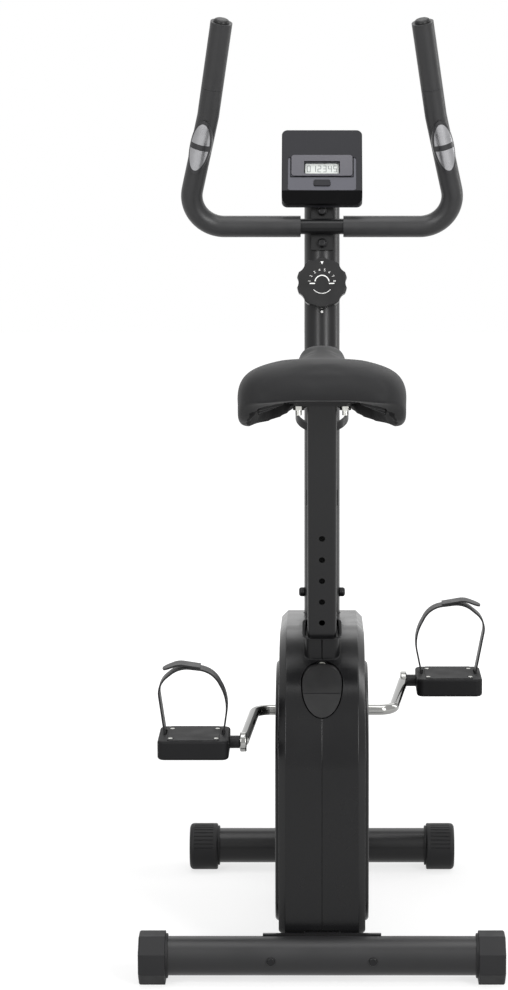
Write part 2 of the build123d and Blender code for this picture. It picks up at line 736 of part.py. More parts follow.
def saddle_hardware():
    """Studs that come down through the saddle plate, and their washers and nuts."""
    solids = []
    for x, dy in saddle_studs():
        place = Pos(x, saddle_mid() + dy, SADDLE_PLATE_Z)
        solids.append(place * Pos(0, 0, -15) * Cylinder(STUD_R, 15 + SADDLE_PLATE_T, align=BOTTOM))
        washer = Pos(0, 0, -1.6) * extrude(Circle(9.5) - Circle(STUD_R), 1.6)
        nut = Pos(0, 0, -8.4) * extrude(RegularPolygon(7.5, 6) - Circle(STUD_R), 6.8)
        solids += [place * washer, place * nut]
    return group(solids)


parts["seat_post"] = seat_post()
parts["saddle_pan"] = saddle_pan()
parts["saddle_pad"] = saddle_pad()
parts["saddle_hardware"] = saddle_hardware()

# Crank, pulleys and flywheel


def crank_end(side):
    """Row Y and Z of one pedal spindle: side is -1 on the left, at the rear, and 1 on the right."""
    turn = radians(CRANK_TILT)
    return along(AXLE_Y) + side * CRANK_LEN * cos(turn), AXLE_Z + side * CRANK_LEN * sin(turn)


def crank():
    """One bent bar: two arms, the axle between them, two journals and two spindle eyes."""
    left_y, left_z = crank_end(-1)
    right_y, right_z = crank_end(1)
    axle = along(AXLE_Y)
    route = FilletPolyline(
        (LEFT_EYE_X, left_y, left_z), (CRANK_BEND_LEFT, axle, AXLE_Z),
        (CRANK_BEND_RIGHT, axle, AXLE_Z), (RIGHT_EYE_X, right_y, right_z), radius=CRANK_BEND_R)
    bar = sweep(Plane(route ^ 0) * Circle(CRANK_BAR_R), route)
    for x0 in (-BB_HALF, BB_HALF - BB_BEARING_W):
        bar += x_rod(axle, AXLE_Z, JOURNAL_R, x0, x0 + BB_BEARING_W)
    for side, x, y, z in ((-1, LEFT_EYE_X, left_y, left_z), (1, RIGHT_EYE_X, right_y, right_z)):
        bar += fillet(x_rod(y, z, EYE_R, x - EYE_W / 2, x + EYE_W / 2).edges(), 2.0)
        bar -= x_rod(y, z, EYE_R, x + side * EYE_W / 2, x + side * EYE_W * 2)
        bar -= x_rod(y, z, SPINDLE_R, x - EYE_W, x + EYE_W)
    return bar


def drive_pulley():
    """Spoked belt pulley on the crank axle."""
    axle = along(AXLE_Y)
    wheel = x_rod(axle, AXLE_Z, PULLEY_R, PULLEY_X0, PULLEY_X1)
    wheel -= x_pipe(axle, AXLE_Z, PULLEY_R - 9, 24, PULLEY_X0, PULLEY_X0 + 4)
    wheel -= x_pipe(axle, AXLE_Z, PULLEY_R - 9, 24, PULLEY_X1 - 4, PULLEY_X1)
    for step in range(5):
        angle = radians(72 * step)
        y, z = axle + 60 * cos(angle), AXLE_Z + 60 * sin(angle)
        wheel -= x_rod(y, z, 24, PULLEY_X0, PULLEY_X1)
    return wheel - x_rod(axle, AXLE_Z, CRANK_BAR_R, PULLEY_X0, PULLEY_X1)


def belt():
    """Flat loop round both pulleys."""
    big = Pos(along(AXLE_Y), AXLE_Z) * Circle(PULLEY_R + BELT_GAP)
    small = Pos(along(WHEEL_Y), WHEEL_Z) * Circle(SMALL_PULLEY_R + BELT_GAP)
    inside = make_hull((big + small).edges())
    ring = offset(inside, BELT_T) - inside
    return slab(Plane.YZ * ring, PULLEY_X0 + BELT_EDGE, PULLEY_X1 - BELT_EDGE)


def flywheel():
    """Heavy-rimmed wheel."""
    y = along(WHEEL_Y)
    wheel = x_rod(y, WHEEL_Z, WHEEL_R, -11, 11)
    wheel -= x_pipe(y, WHEEL_Z, WHEEL_R - 22, 20, -11, -5) + x_pipe(y, WHEEL_Z, WHEEL_R - 22, 20, 5, 11)
    wheel += x_rod(y, WHEEL_Z, 20, -22, 22)
    return wheel - x_rod(y, WHEEL_Z, SHAFT_R, -30, 30)


def flywheel_shaft():
    """Turned shaft with the small belt pulley on its right end."""
    shaft = x_rod(along(WHEEL_Y), WHEEL_Z, SHAFT_R, -FORK_X1 - 4, PULLEY_X1)
    return shaft + x_rod(along(WHEEL_Y), WHEEL_Z, SMALL_PULLEY_R, PULLEY_X0, PULLEY_X1)


def bearings():
    """A bush at each end of the crank axle and of the flywheel shaft."""
    solids = []
    for x0 in (-BB_HALF, BB_HALF - BB_BEARING_W):
        solids.append(x_pipe(along(AXLE_Y), AXLE_Z, BB_BORE, JOURNAL_R + RUN, x0, x0 + BB_BEARING_W))
    for x0 in (-FORK_X1, FORK_X0):
        x1 = x0 + FORK_X1 - FORK_X0
        solids.append(x_pipe(along(WHEEL_Y), WHEEL_Z, SHAFT_BEARING_R, SHAFT_R + RUN, x0, x1))
    return group(solids)


def magnet_bracket():
    """Curved strap over the flywheel's rim, hung from its pivot."""
    y = along(WHEEL_Y)
    band = x_pipe(y, WHEEL_Z, MAGNET_BAND_R + MAGNET_BAND_T, MAGNET_BAND_R, -16, 16)
    wedge = Plane.YZ * Pos(y, WHEEL_Z) * make_face(Polyline(
        (0, 0), (180, 100), (120, 180), (-26, 180), close=True))
    strap = band & slab(wedge, -20, 20)
    pivot = along(MAGNET_PIVOT_Y), MAGNET_PIVOT_Z
    strap += x_rod(*pivot, 9, -20, 20) + block(-16, 16, 366, 380, 290, 304)
    strap -= x_rod(y, WHEEL_Z, MAGNET_BAND_R, -40, 40)
    return strap - x_rod(*pivot, MAGNET_PIN_R + RUN, -40, 40)


def magnets():
    """Flat magnets on the inner face of the strap."""
    solids = []
    for angle in (42, 56, 70, 84):
        turn = Pos(0, along(WHEEL_Y), WHEEL_Z) * Rot(angle, 0, 0)
        solids.append(turn * Pos(0, MAGNET_BAND_R - 1.7, 0) * Box(26, 2.4, 14))
    return group(solids)


def tension_cable():
    """Cable from the resistance knob down the inside of the front post."""
    knee = post_point(0, 0, DIAL_S - 60)
    upper = rod(post_point(0, -14, DIAL_S), knee, CABLE_R)
    return upper + Pos(*knee) * Sphere(CABLE_R) + rod(knee, post_point(0, 0, -100), CABLE_R)


parts["crank"] = crank()
parts["drive_pulley"] = drive_pulley()
parts["belt"] = belt()
parts["flywheel"] = flywheel()
parts["flywheel_shaft"] = flywheel_shaft()
parts["bearings"] = bearings()
parts["magnet_bracket"] = magnet_bracket()
parts["magnets"] = magnets()
parts["magnet_pin"] = x_rod(along(MAGNET_PIVOT_Y), MAGNET_PIVOT_Z, MAGNET_PIN_R, -FORK_X1, FORK_X1)
parts["tension_cable"] = tension_cable()

# Pedals


def pedal_frame(side):
    """Spindle axis, eye and outward direction of one pedal."""
    y, z = crank_end(side)
    eye = LEFT_EYE_X if side < 0 else RIGHT_EYE_X
    return y, z, eye + side * (EYE_W / 2 + PEDAL_GAP)


def pedal_spindle(side):
    """Threaded end in the crank eye, collar and plain bearing length."""
    y, z, near = pedal_frame(side)
    eye = LEFT_EYE_X if side < 0 else RIGHT_EYE_X
    inside = eye - side * EYE_W / 2
    bar = rod((inside, y, z), (near + side * SPINDLE_LEN, y, z), SPINDLE_R)
    return bar + rod((eye + side * EYE_W / 2, y, z), (near - side * 0.4, y, z), COLLAR_R)


def pedal_body(side):
    """Moulded block with a raised tread, screw recesses, strap slots and a spindle bore."""
    y, z, near = pedal_frame(side)
    top = PEDAL_UP + PEDAL_DOWN
    plate = extrude(RectangleRounded(PEDAL_W, PEDAL_LEN, 10), top)
    plate = fillet(plate.faces().sort_by(Axis.Z)[-1].edges(), 3.0)
    plate = fillet(plate.faces().sort_by(Axis.Z)[0].edges(), 4.0)
    tread = RectangleRounded(PEDAL_W - TREAD_MARGIN[0], PEDAL_LEN - TREAD_MARGIN[1], 4)
    plate += Pos(0, 0, top) * extrude(tread, TREAD_T)
    for across in (-1, 1):
        for fore in (-1, 1):
            spot = Pos(across * PEDAL_SCREW[0], fore * PEDAL_SCREW[1], top)
            plate -= spot * Cylinder(4.0, 6)
        slot = Box(STRAP_T + 1.8, STRAP_W + 2, 2 * STRAP_SLOT_DEEP)
        plate -= Pos(across * (PEDAL_W / 2 - STRAP_SLOT_IN), STRAP_SHIFT, top) * slot
    body = Pos(near + side * PEDAL_W / 2, y, z - PEDAL_DOWN) * plate
    return body - rod((near - side, y, z), (near + side * (SPINDLE_LEN + 2), y, z), SPINDLE_R + RUN)


def pedal_strap(side):
    """Flexible band over the foot, from slot to slot, with its loose tail on the outer side."""
    y, z, near = pedal_frame(side)
    loop = FilletPolyline(*(LEFT_STRAP if side < 0 else RIGHT_STRAP), radius=STRAP_BENDS)
    tail = FilletPolyline(*(LEFT_STRAP_TAIL if side < 0 else RIGHT_STRAP_TAIL), radius=STRAP_TAIL_BEND)
    end = extrude(Plane.XZ * trace(tail, STRAP_T), STRAP_W / 2, both=True)
    tip = end.faces().sort_by(Axis.X)[-1].edges().sort_by(SortBy.LENGTH)[:2]
    strap = extrude(Plane.XZ * trace(loop, STRAP_T), STRAP_W / 2, both=True) + fillet(tip, STRAP_TIP_R)
    strap = strap if side > 0 else mirror(strap, about=Plane.YZ)
    return Pos(near, y + STRAP_SHIFT, z) * strap


for side, name in ((-1, "left"), (1, "right")):
    parts[f"{name}_pedal"] = pedal_body(side)
    parts[f"{name}_pedal_strap"] = pedal_strap(side)

parts["pedal_spindles"] = group([pedal_spindle(side) for side in (-1, 1)])

# Front post and bottle cage


def front_post():
    """Round post that slips over the frame stub."""
    tube = rod(post_point(0, 0, POST_LOW), post_point(0, 0, POST_TOP), POST_R)
    tube -= rod(post_point(0, 0, POST_LOW), post_point(0, 0, POST_TOP), POST_R - POST_WALL)
    tube -= post_bolts()
    return tube - rod(post_point(0, 0, DIAL_S), post_point(0, -POST_R - 9, DIAL_S), DIAL_SHAFT_R + RUN)


def button_bolt(place, outward):
    """Button-head bolt standing on a surface."""
    head = Cylinder(BUTTON_HEAD_R, BUTTON_HEAD_T, align=BOTTOM)
    head = fillet(head.faces().sort_by(Axis.Z)[-1].edges(), BUTTON_ROUND)
    shank = Pos(0, 0, -BUTTON_BOLT_LEN) * Cylinder(BOLT_R, BUTTON_BOLT_LEN, align=BOTTOM)
    return Plane(origin=place, z_dir=outward) * (head + shank)


def post_bolts():
    """Two bolts through the sides of the post into the stub, and two through the handlebar block."""
    bolts = [button_bolt(post_point(side * POST_R, 0, SIDE_BOLT_S), (side, 0, 0)) for side in (-1, 1)]
    back = -POST_R - BRACKET_BACK
    for dz in (-BRACKET_BOLT, BRACKET_BOLT):
        bolts.append(button_bolt(post_point(0, back, bar_s + dz), tuple(-post.y_dir)))
    return bolts


def cage_back():
    """Distance from the post axis back to the bottle axis."""
    return POST_R + CAGE_R + CAGE_HOOP_SET


def bottle_cage():
    """Spine on the post, a slanting hoop round the bottle, and a shelf with a lip."""
    length = CAGE_SPINE_HIGH - CAGE_SPINE_LOW
    middle = CAGE_S + (CAGE_SPINE_HIGH + CAGE_SPINE_LOW) / 2
    spine = Pos(0, -POST_R - CAGE_SPINE_T / 2, middle) * Box(CAGE_SPINE_W, CAGE_SPINE_T, length)
    hoop = Pos(0, -cage_back(), CAGE_S) * (Cylinder(CAGE_R, 160) - Cylinder(CAGE_R - CAGE_T, 160))
    hoop &= Pos(0, -cage_back(), CAGE_S) * Rot(CAGE_TILT, 0, 0) * Box(160, 160, CAGE_BAND)
    reach = 2 * CAGE_R - 8
    shelf_z = CAGE_S + CAGE_SPINE_LOW
    shelf = Pos(0, -POST_R - reach / 2, shelf_z + CAGE_SHELF_T / 2) * Box(CAGE_SHELF_W, reach, CAGE_SHELF_T)
    lip = Pos(0, -POST_R - reach + 1.5, shelf_z + CAGE_LIP / 2) * Box(CAGE_SHELF_W, 3, CAGE_LIP)
    cage = spine + hoop + shelf + lip
    cage -= Pos(0, 0, CAGE_S) * Cylinder(POST_R, 600)
    return post * cage - cage_screws()


def cage_screws():
    """Two pan-head screws through the spine."""
    back = -POST_R - CAGE_SPINE_T
    return [pan_screw(post_point(0, back, CAGE_S + dz), tuple(-post.y_dir)) for dz in CAGE_SCREWS]


parts["front_post"] = front_post()
parts["bottle_cage"] = bottle_cage()

# Handlebar

bar_lean = radians(BAR_LEAN)
bar_centre = post_point(0, -bar_back, bar_s)
bar = Plane(origin=bar_centre, x_dir=(1, 0, 0), z_dir=(0, -cos(bar_lean), -sin(bar_lean)))


def arm_point(up):
    """Point on the right arm's centre line, at a height in the bar's own plane: it bends at the knee."""
    if up < BAR_KNEE:
        return BAR_CORNER_X - (BAR_CORNER_X - BAR_KNEE_X) * up / BAR_KNEE, up
    return BAR_KNEE_X - (BAR_KNEE_X - BAR_TIP_X) * (up - BAR_KNEE) / (BAR_ARM - BAR_KNEE), up


def in_bar(point):
    """Row place of a point given across and up in the bar's plane."""
    return tuple(bar.from_local_coords(Vector(point[0], point[1], 0)))


def bar_sweep(points, outer, inner):
    """Round tube along a route in the bar's plane."""
    places = [in_bar(point) for point in points]
    route = FilletPolyline(*places, radius=BAR_BEND) if len(places) > 2 else Line(*places)
    return sweep(Plane(route ^ 0) * (Circle(outer) - Circle(inner)), route)


def handlebar():
    """Bent tube welded to the block that is bolted to the post."""
    right = [arm_point(0), arm_point(BAR_KNEE), arm_point(BAR_ARM)]
    left = [(-x, up) for x, up in reversed(right)]
    tube = bar_sweep(left + right, BAR_R, BAR_R - BAR_WALL)
    clamp = Pos(0, -POST_R - BRACKET_BACK / 2 + 4, bar_s) * Box(BRACKET_W, BRACKET_BACK + 8, BRACKET_H)
    clamp -= Pos(0, 0, bar_s) * Cylinder(POST_R, 200)
    bored = tube + post * clamp - rod(in_bar((-60, 0)), in_bar((60, 0)), BAR_R - BAR_WALL)
    return bored - post_bolts()


def lower_grip():
    """Right foam sleeve, from beside the block, round the bend and up past the sensors."""
    route = [(GRIP_START, 0), arm_point(0), arm_point(BAR_KNEE), arm_point(GRIP_SEAM)]
    return bar_sweep(route, GRIP_R, BAR_R + RUN)


def upper_grip():
    """Right foam sleeve on the end of the arm."""
    return bar_sweep([arm_point(GRIP_SEAM + 0.3), arm_point(BAR_ARM)], GRIP_R, BAR_R + RUN)


def end_plug():
    """Domed plug in the right end of the bar."""
    end = Vector(*in_bar(arm_point(BAR_ARM)))
    back = Vector(*in_bar(arm_point(BAR_ARM - 20)))
    stem = rod(tuple(back), tuple(end), BAR_R - BAR_WALL)
    dome_plane = Plane(origin=tuple(end), z_dir=end - back)
    dome = fillet(Cylinder(BAR_R, 4.5, align=BOTTOM).faces().sort_by(Axis.Z)[-1].edges(), 4.0)
    return stem + dome_plane * dome


def sensor_plane():
    """Plane at the middle of the right sensor: Z along the arm, Y out towards the rider."""
    here = Vector(*in_bar(arm_point(SENSOR_MID)))
    up = (Vector(*in_bar(arm_point(SENSOR_MID + 10))) - here).normalized()
    rider = Vector(sin(radians(SENSOR_TURN)), -cos(radians(SENSOR_TURN)), 0)
    across = rider.cross(up).normalized()
    return Plane(origin=here, x_dir=across, z_dir=up)


def sensor_shell(inner, outer, outline):
    """Part of a round sleeve that lies behind an outline seen from the rider's side."""
    ring = Cylinder(outer, 120) - Cylinder(inner, 120)
    window = extrude(Plane.XZ * outline, 60)
    window += mirror(window, about=Plane.XZ)
    keep = Pos(0, 30, 0) * Box(80, 60, 200)
    return sensor_plane() * (ring & window & keep)


def sensor_holder():
    """Oval plastic holder on the foam."""
    return sensor_shell(GRIP_R + 0.1, GRIP_R + SENSOR_T, Ellipse(SENSOR_HALF_W, SENSOR_HALF))


def sensor_plates():
    """Upper and lower steel contact plates on the holder."""
    leaf = Ellipse(SENSOR_PLATE_HALF_W, SENSOR_HALF - 5)
    band = Rectangle(60, 8.0)
    r = GRIP_R + SENSOR_T + RUN
    upper = leaf & (Pos(0, 50) * Rectangle(60, 100)) - band
    lower = leaf & (Pos(0, -50) * Rectangle(60, 100)) - band
    return group([sensor_shell(r, r + SENSOR_PLATE_T, shape) for shape in (upper, lower)])


parts["handlebar"] = handlebar()
parts["post_bolts"] = group(post_bolts())
parts["lower_grip_left"], parts["lower_grip_right"] = both_sides(lower_grip())
parts["upper_grip_left"], parts["upper_grip_right"] = both_sides(upper_grip())
parts["end_plugs"] = group(both_sides(end_plug()))
parts["sensor_holders"] = group(both_sides(sensor_holder()))
parts["sensor_plates"] = group(both_sides(sensor_plates()))

# Resistance knob


def dial_bar(radius, near, far):
    """Round length on the knob's axis between two distances behind the post axis."""
    return Plane(origin=post_point(0, -near, DIAL_S), x_dir=(1, 0, 0), z_dir=-post.y_dir) * Cylinder(
        radius, far - near, align=BOTTOM)


def dial_base():
    """Round seat for the knob, shaped to the post."""
    base = dial_bar(DIAL_BASE_R, POST_R - 12, POST_R + DIAL_BASE_T)
    base -= rod(post_point(0, 0, DIAL_S - 60), post_point(0, 0, DIAL_S + 60), POST_R)
    return base - dial_bar(DIAL_SHAFT_R + RUN, 0, POST_R + DIAL_BASE_T)


def dial_knob():
    """Knob with a scalloped rim and a shaft into the post."""
    near = POST_R + DIAL_BASE_T + 0.4
    far = near + DIAL_T
    knob = dial_bar(DIAL_R, near, far)
    knob = fillet(knob.faces().sort_by(Axis.Y)[0].edges(), 2.5)
    for step in range(DIAL_SCALLOPS):
        angle = radians(360 * (step + 0.5) / DIAL_SCALLOPS)
        reach = DIAL_R + SCALLOP_R - SCALLOP_DEPTH
        x, z = reach * sin(angle), DIAL_S + reach * cos(angle)
        knob -= rod(post_point(x, -near, z), post_point(x, -far, z), SCALLOP_R)
    return knob + dial_bar(DIAL_SHAFT_R, POST_R - 6, near)


parts["dial_base"] = dial_base()
parts["dial_knob"] = dial_knob()

# Console

console_tilt = radians(CONSOLE_TILT)
console = Plane(origin=(0, along(CONSOLE_Y), CONSOLE_Z), x_dir=(1, 0, 0),
                z_dir=(0, -cos(console_tilt), sin(console_tilt)))


def console_rect(x, low, high, corner, z0, z1):
    """Rounded plate of the console between two depths, in the face's own frame."""
    shape = RectangleRounded(2 * x, high - low, corner)
    return Pos(0, (low + high) / 2, z0) * extrude(shape, z1 - z0)


def console_body(shrink):
    """Outer form of the whole console, or its hollow when shrunk by the wall."""
    half = CONSOLE_W / 2 - shrink
    low, high = -CONSOLE_DOWN + shrink, CONSOLE_UP - shrink
    depth = CONSOLE_FRONT_T + CONSOLE_BACK_T - shrink
    body = console_rect(half, low, high, CONSOLE_CORNER - shrink, -depth, -shrink)
    body = chamfer(body.faces().sort_by(Axis.Z)[0].edges(), CONSOLE_BACK_BEVEL - shrink)
    if not shrink:
        body = fillet(body.faces().sort_by(Axis.Z)[-1].edges(), 2.0)
    chin = make_face(Polyline(
        (low - 1, -CONSOLE_CHIN_T - 1.5 * shrink), (low - 1, 1), (low + CONSOLE_CHIN, 1),
        (low + CONSOLE_CHIN, -1.5 * shrink), close=True))
    return body - extrude(Plane.YZ * chin, 100, both=True)


def console_case(front):
    """Front or rear half of the hollow case."""
    case = console_body(0) - console_body(CONSOLE_WALL)
    split = -CONSOLE_FRONT_T
    keep = Pos(0, 0, split) * Box(300, 300, 200, align=(Align.CENTER, Align.CENTER,
                                                        Align.MIN if front else Align.MAX))
    case &= keep
    if front:
        case -= console_rect(FACE_X, FACE_LOW, FACE_HIGH, 4, -20, 10)
        case -= console_rect(LENS_X, LENS_LOW, LENS_HIGH, 4, -20, 10)
    return case


def console_face():
    """Grey inset panel with the openings for the lens and the button."""
    face = console_rect(FACE_X - 0.2, FACE_LOW + 0.2, FACE_HIGH - 0.2, 4, -FACE_T - 1, -1)
    face -= console_rect(LENS_X, LENS_LOW, LENS_HIGH, 4, -10, 10)
    gap = BUTTON_GAP
    low, high = BUTTON_Y - BUTTON_H / 2 - gap, BUTTON_Y + BUTTON_H / 2 + gap
    return face - console_rect(BUTTON_W / 2 + gap, low, high, 2.5, -10, 10)


def console_lens():
    """Raised grey frame round the display window."""
    lens = console_rect(LENS_X - 0.2, LENS_LOW + 0.2, LENS_HIGH - 0.2, 4, -LENS_T, 1.0)
    return lens - console_rect(LCD_X, LCD_LOW, LCD_HIGH, 1.5, -10, 10)


def console_lcd():
    """Display glass behind the window."""
    return console_rect(LCD_X + 4, LCD_LOW - 3, LCD_HIGH + 4, 1.5, -LENS_T - 2.2, -LENS_T)


def console_button():
    """Single key with a flange under the face."""
    half = BUTTON_H / 2
    key = console_rect(BUTTON_W / 2, BUTTON_Y - half, BUTTON_Y + half, 2.3, -7, BUTTON_PROUD - 1)
    return key + console_rect(BUTTON_W / 2 + 2, BUTTON_Y - half - 2, BUTTON_Y + half + 2, 2.3, -7, -5)


def console_board():
    """Circuit board with its key switch, behind the face."""
    board = console_rect(40, -34, 12, 2, -12.6, -11)
    return board + Pos(0, BUTTON_Y, -11) * Box(6, 6, 1.6, align=BOTTOM)


def console_screws():
    """Four screws in the back of the console."""
    depth = CONSOLE_FRONT_T + CONSOLE_BACK_T
    places = [(x, y) for x in (-CONSOLE_SCREW_X, CONSOLE_SCREW_X) for y in CONSOLE_SCREW_Y]
    back = tuple(-console.z_dir)
    return [pan_screw(tuple(console.from_local_coords(Vector(x, y, -depth))), back) for x, y in places]


def console_stay():
    """Bent plate from the post's top to the console's back, with a plug in the post."""
    plug = rod(post_point(0, 0, POST_TOP - 12), post_point(0, 0, POST_TOP + 2), POST_R - POST_WALL)
    plug += rod(post_point(0, 0, POST_TOP), post_point(0, 0, POST_TOP + 3), POST_R)
    inside = rod(post_point(0, 0, POST_TOP - 60), post_point(0, 0, POST_TOP), POST_R + 10)
    depth = CONSOLE_FRONT_T + CONSOLE_BACK_T
    top = console * Pos(0, -10, -depth - 2) * Box(36, 52, 4)
    foot = rod(post_point(0, 0, POST_TOP), tuple(console.from_local_coords(Vector(0, -22, -depth - 2))), 9)
    return plug + (top + foot - inside) - console * console_body(0)


parts["console_front"] = console * console_case(True)
parts["console_back"] = console * console_case(False) - console_screws()
parts["console_face"] = console * console_face()
parts["console_lens"] = console * console_lens()
parts["console_lcd"] = console * console_lcd()
parts["console_button"] = console * console_button()
parts["console_board"] = console * console_board()
parts["console_stay"] = console_stay()
parts["pan_screws"] = group(cover_screws() + cage_screws() + console_screws())

os.makedirs("parts", exist_ok=True)
for name, shape in parts.items():
    export_step(shape, f"parts/{name}.step")
print(len(parts), "parts")
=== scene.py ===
import json
from math import radians

import bmesh
import bpy
from mathutils import Matrix, Vector
from mathutils.bvhtree import BVHTree
from numpy import interp


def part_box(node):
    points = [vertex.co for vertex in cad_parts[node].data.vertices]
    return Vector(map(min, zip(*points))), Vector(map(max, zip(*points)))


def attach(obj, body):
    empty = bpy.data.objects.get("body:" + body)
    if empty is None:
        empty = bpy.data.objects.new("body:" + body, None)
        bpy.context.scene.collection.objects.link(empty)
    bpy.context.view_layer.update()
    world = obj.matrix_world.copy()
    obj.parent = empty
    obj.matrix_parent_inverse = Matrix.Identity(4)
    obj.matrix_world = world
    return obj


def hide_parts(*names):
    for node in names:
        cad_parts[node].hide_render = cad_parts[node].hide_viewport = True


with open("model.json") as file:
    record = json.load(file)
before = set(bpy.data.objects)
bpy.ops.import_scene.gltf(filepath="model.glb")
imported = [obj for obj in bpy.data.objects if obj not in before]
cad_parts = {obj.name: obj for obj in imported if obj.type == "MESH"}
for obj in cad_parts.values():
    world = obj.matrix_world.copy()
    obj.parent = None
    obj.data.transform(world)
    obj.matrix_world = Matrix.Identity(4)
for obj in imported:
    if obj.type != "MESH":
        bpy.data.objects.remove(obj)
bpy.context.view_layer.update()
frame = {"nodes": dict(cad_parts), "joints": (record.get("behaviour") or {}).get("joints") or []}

NODES = frame["nodes"]
JOINTS = {joint["name"]: joint for joint in frame["joints"]}
MM = 0.001

# The camera: the photograph's frame, the camera's place behind the bike and its aim
IMAGE_W, IMAGE_H = 508, 990
FOCAL_PX = 2813.0
SENSOR_MM = 36.0
CAMERA_PLACE = (0.0, -3.791, 1.167)
CAMERA_PITCH = 8.5
BIKE_PX_X = 322.0

# Softboxes: place, what they point at, width, height and watts
SOFTBOXES = {
    "overhead": ((0.0, -0.3, 3.4), (0.0, 0.1, 0.6), 2.6, 2.0, 56.0),
    "left_strip": ((-1.5, -2.5, 1.8), (0.0, 0.0, 0.8), 0.7, 2.2, 52.0),
    "right_strip": ((1.6, -2.5, 1.7), (0.0, 0.0, 0.8), 0.7, 2.4, 78.0),
    "front_top": ((0.4, 2.4, 2.2), (0.0, 0.0, 0.4), 2.4, 1.2, 12.0),
    "right_rim": ((2.4, 1.0, 1.5), (0.0, 0.0, 0.8), 0.5, 2.0, 18.0),
}
# How much of the white surroundings' light falls on the bike
AMBIENT = 0.18
# The floor: half its size, its own grey, its glow at the bike, and from where to where it turns white, in m
FLOOR_HALF = 9.0
FLOOR_GREY = "#9c9c9c"
FLOOR_LIFT = 0.72
FLOOR_FADE = (0.6, 1.5)
WHITE = "#ffffff"

# Edges sharper than the first angle are rounded, faces within the second are one flat, in degrees
EDGE_ANGLE = 32.0
FLAT_ANGLE = 0.6
# Points of a CAD piece that are this close are one, in mm
WELD_WITHIN = 0.001
# Edges of moulded and pressed pieces are never quite sharp: the radius in mm for each kind of edge
ROUND = {"metal": 0.5, "shell": 1.0, "moulding": 0.9, "small": 0.25, "inside": 0.0}


# Materials


def linear(code):
    """Linear colour of an sRGB hex value."""
    channels = [int(code[i:i + 2], 16) / 255 for i in (1, 3, 5)]
    return (*[c / 12.92 if c <= 0.04045 else ((c + 0.055) / 1.055) ** 2.4 for c in channels], 1.0)


def add(tree, kind, inputs=None, **settings):
    """Adds one node: its settings, and for each input a value or a (node, output) link."""
    made = tree.nodes.new(kind)
    for name, value in settings.items():
        setattr(made, name, value)
    for socket, value in (inputs or {}).items():
        if isinstance(value, tuple) and isinstance(value[0], bpy.types.Node):
            tree.links.new(value[0].outputs[value[1]], made.inputs[socket])
        else:
            made.inputs[socket].default_value = value
    return made


# The part of a noise's range in which nearly all of it lies
NOISE_RANGE = (0.3, 0.7)


def finish(name, colour, worn, rough, grain_mm, grain_deep_mm, blotch_mm=70.0, stretch=(1, 1, 1), cells=False,
           specular=0.5, **shader):
    """Material with a surface grain of a real size, and slow changes of colour and gloss.

    colour and worn are the hex colours between which it varies, rough is the least and most
    roughness, specular is how much of a clean surface's mirror light is left, and shader holds
    the shader's own values.
    """
    material = bpy.data.materials.new(name)
    material.use_nodes = True
    tree = material.node_tree
    tree.nodes.clear()
    place = add(tree, "ShaderNodeTexCoord")
    turned = add(tree, "ShaderNodeMapping", {"Vector": (place, "Object"), "Scale": stretch})
    blotch = add(tree, "ShaderNodeTexNoise",
                 {"Vector": (place, "Object"), "Scale": 1 / (blotch_mm * MM), "Detail": 3.0})
    if cells:
        grain = add(tree, "ShaderNodeTexVoronoi",
                    {"Vector": (turned, "Vector"), "Scale": 1 / (grain_mm * MM)}, feature="SMOOTH_F1")
        height = (grain, "Distance")
    else:
        grain = add(tree, "ShaderNodeTexNoise",
                    {"Vector": (turned, "Vector"), "Scale": 1 / (grain_mm * MM), "Detail": 2.0})
        height = (grain, "Fac")
    tint = add(tree, "ShaderNodeMix", {"Factor": (blotch, "Fac"), "A": linear(colour), "B": linear(worn)},
               data_type="RGBA")
    gloss = add(tree, "ShaderNodeMapRange", {
        "Value": (blotch, "Fac"), "From Min": NOISE_RANGE[0], "From Max": NOISE_RANGE[1],
        "To Min": rough[0], "To Max": rough[1]})
    bump = add(tree, "ShaderNodeBump", {"Height": height, "Distance": grain_deep_mm * MM, "Strength": 1.0})
    look = add(tree, "ShaderNodeBsdfPrincipled", {
        "Base Color": (tint, "Result"), "Roughness": (gloss, "Result"), "Normal": (bump, "Normal"),
        "Specular IOR Level": specular, **shader})
    add(tree, "ShaderNodeOutputMaterial", {"Surface": (look, "BSDF")})
    return material


# Powder-coated steel tube: a satin black skin with a faint orange peel
powder_coat = finish("black_powder_coat", "#101011", "#151516", (0.28, 0.35), 2.2, 0.03, specular=0.28,
                     IOR=1.5)
# The rear stabiliser's coat: the same paint, greyer and a little rougher, painted light standing in for the
# stronger light on the rear part
lit_rear_coat = finish("rear_coat_painted_light", "#1a1a1b", "#212122", (0.34, 0.42), 2.2, 0.03, specular=0.34,
                      IOR=1.5)
# ABS drive shell, moulded in a spark-eroded tool: fine grain and a broad soft sheen
shell_abs = finish("grained_black_abs", "#0f0f10", "#131314", (0.2, 0.28), 1.1, 0.02, specular=0.2,
                   IOR=1.53)
# Polypropylene caps: waxy, a little blotchy
cap_pp = finish("black_polypropylene", "#1e1e1f", "#252526", (0.5, 0.62), 1.4, 0.03, blotch_mm=30,
                specular=0.2, IOR=1.49)
# Polypropylene pedals, grained so that a shoe grips
pedal_pp = finish("grained_pedal_polypropylene", "#131314", "#181819", (0.5, 0.6), 1.2, 0.06, blotch_mm=25,
                  specular=0.13, IOR=1.49)
# Nylon knobs: smoother, with a narrow highlight
knob_nylon = finish("black_nylon", "#141415", "#191919", (0.36, 0.44), 0.9, 0.02, blotch_mm=20,
                    specular=0.22, IOR=1.53)
# PVC-coated saddle cover: a leather-like print of small cells, drawn coarse enough to show
saddle_pvc = finish("black_saddle_vinyl", "#161617", "#1b1b1c", (0.58, 0.7), 1.8, 0.05, cells=True,
                    specular=0.2, IOR=1.52, **{"Sheen Weight": 0.06, "Sheen Roughness": 0.5})
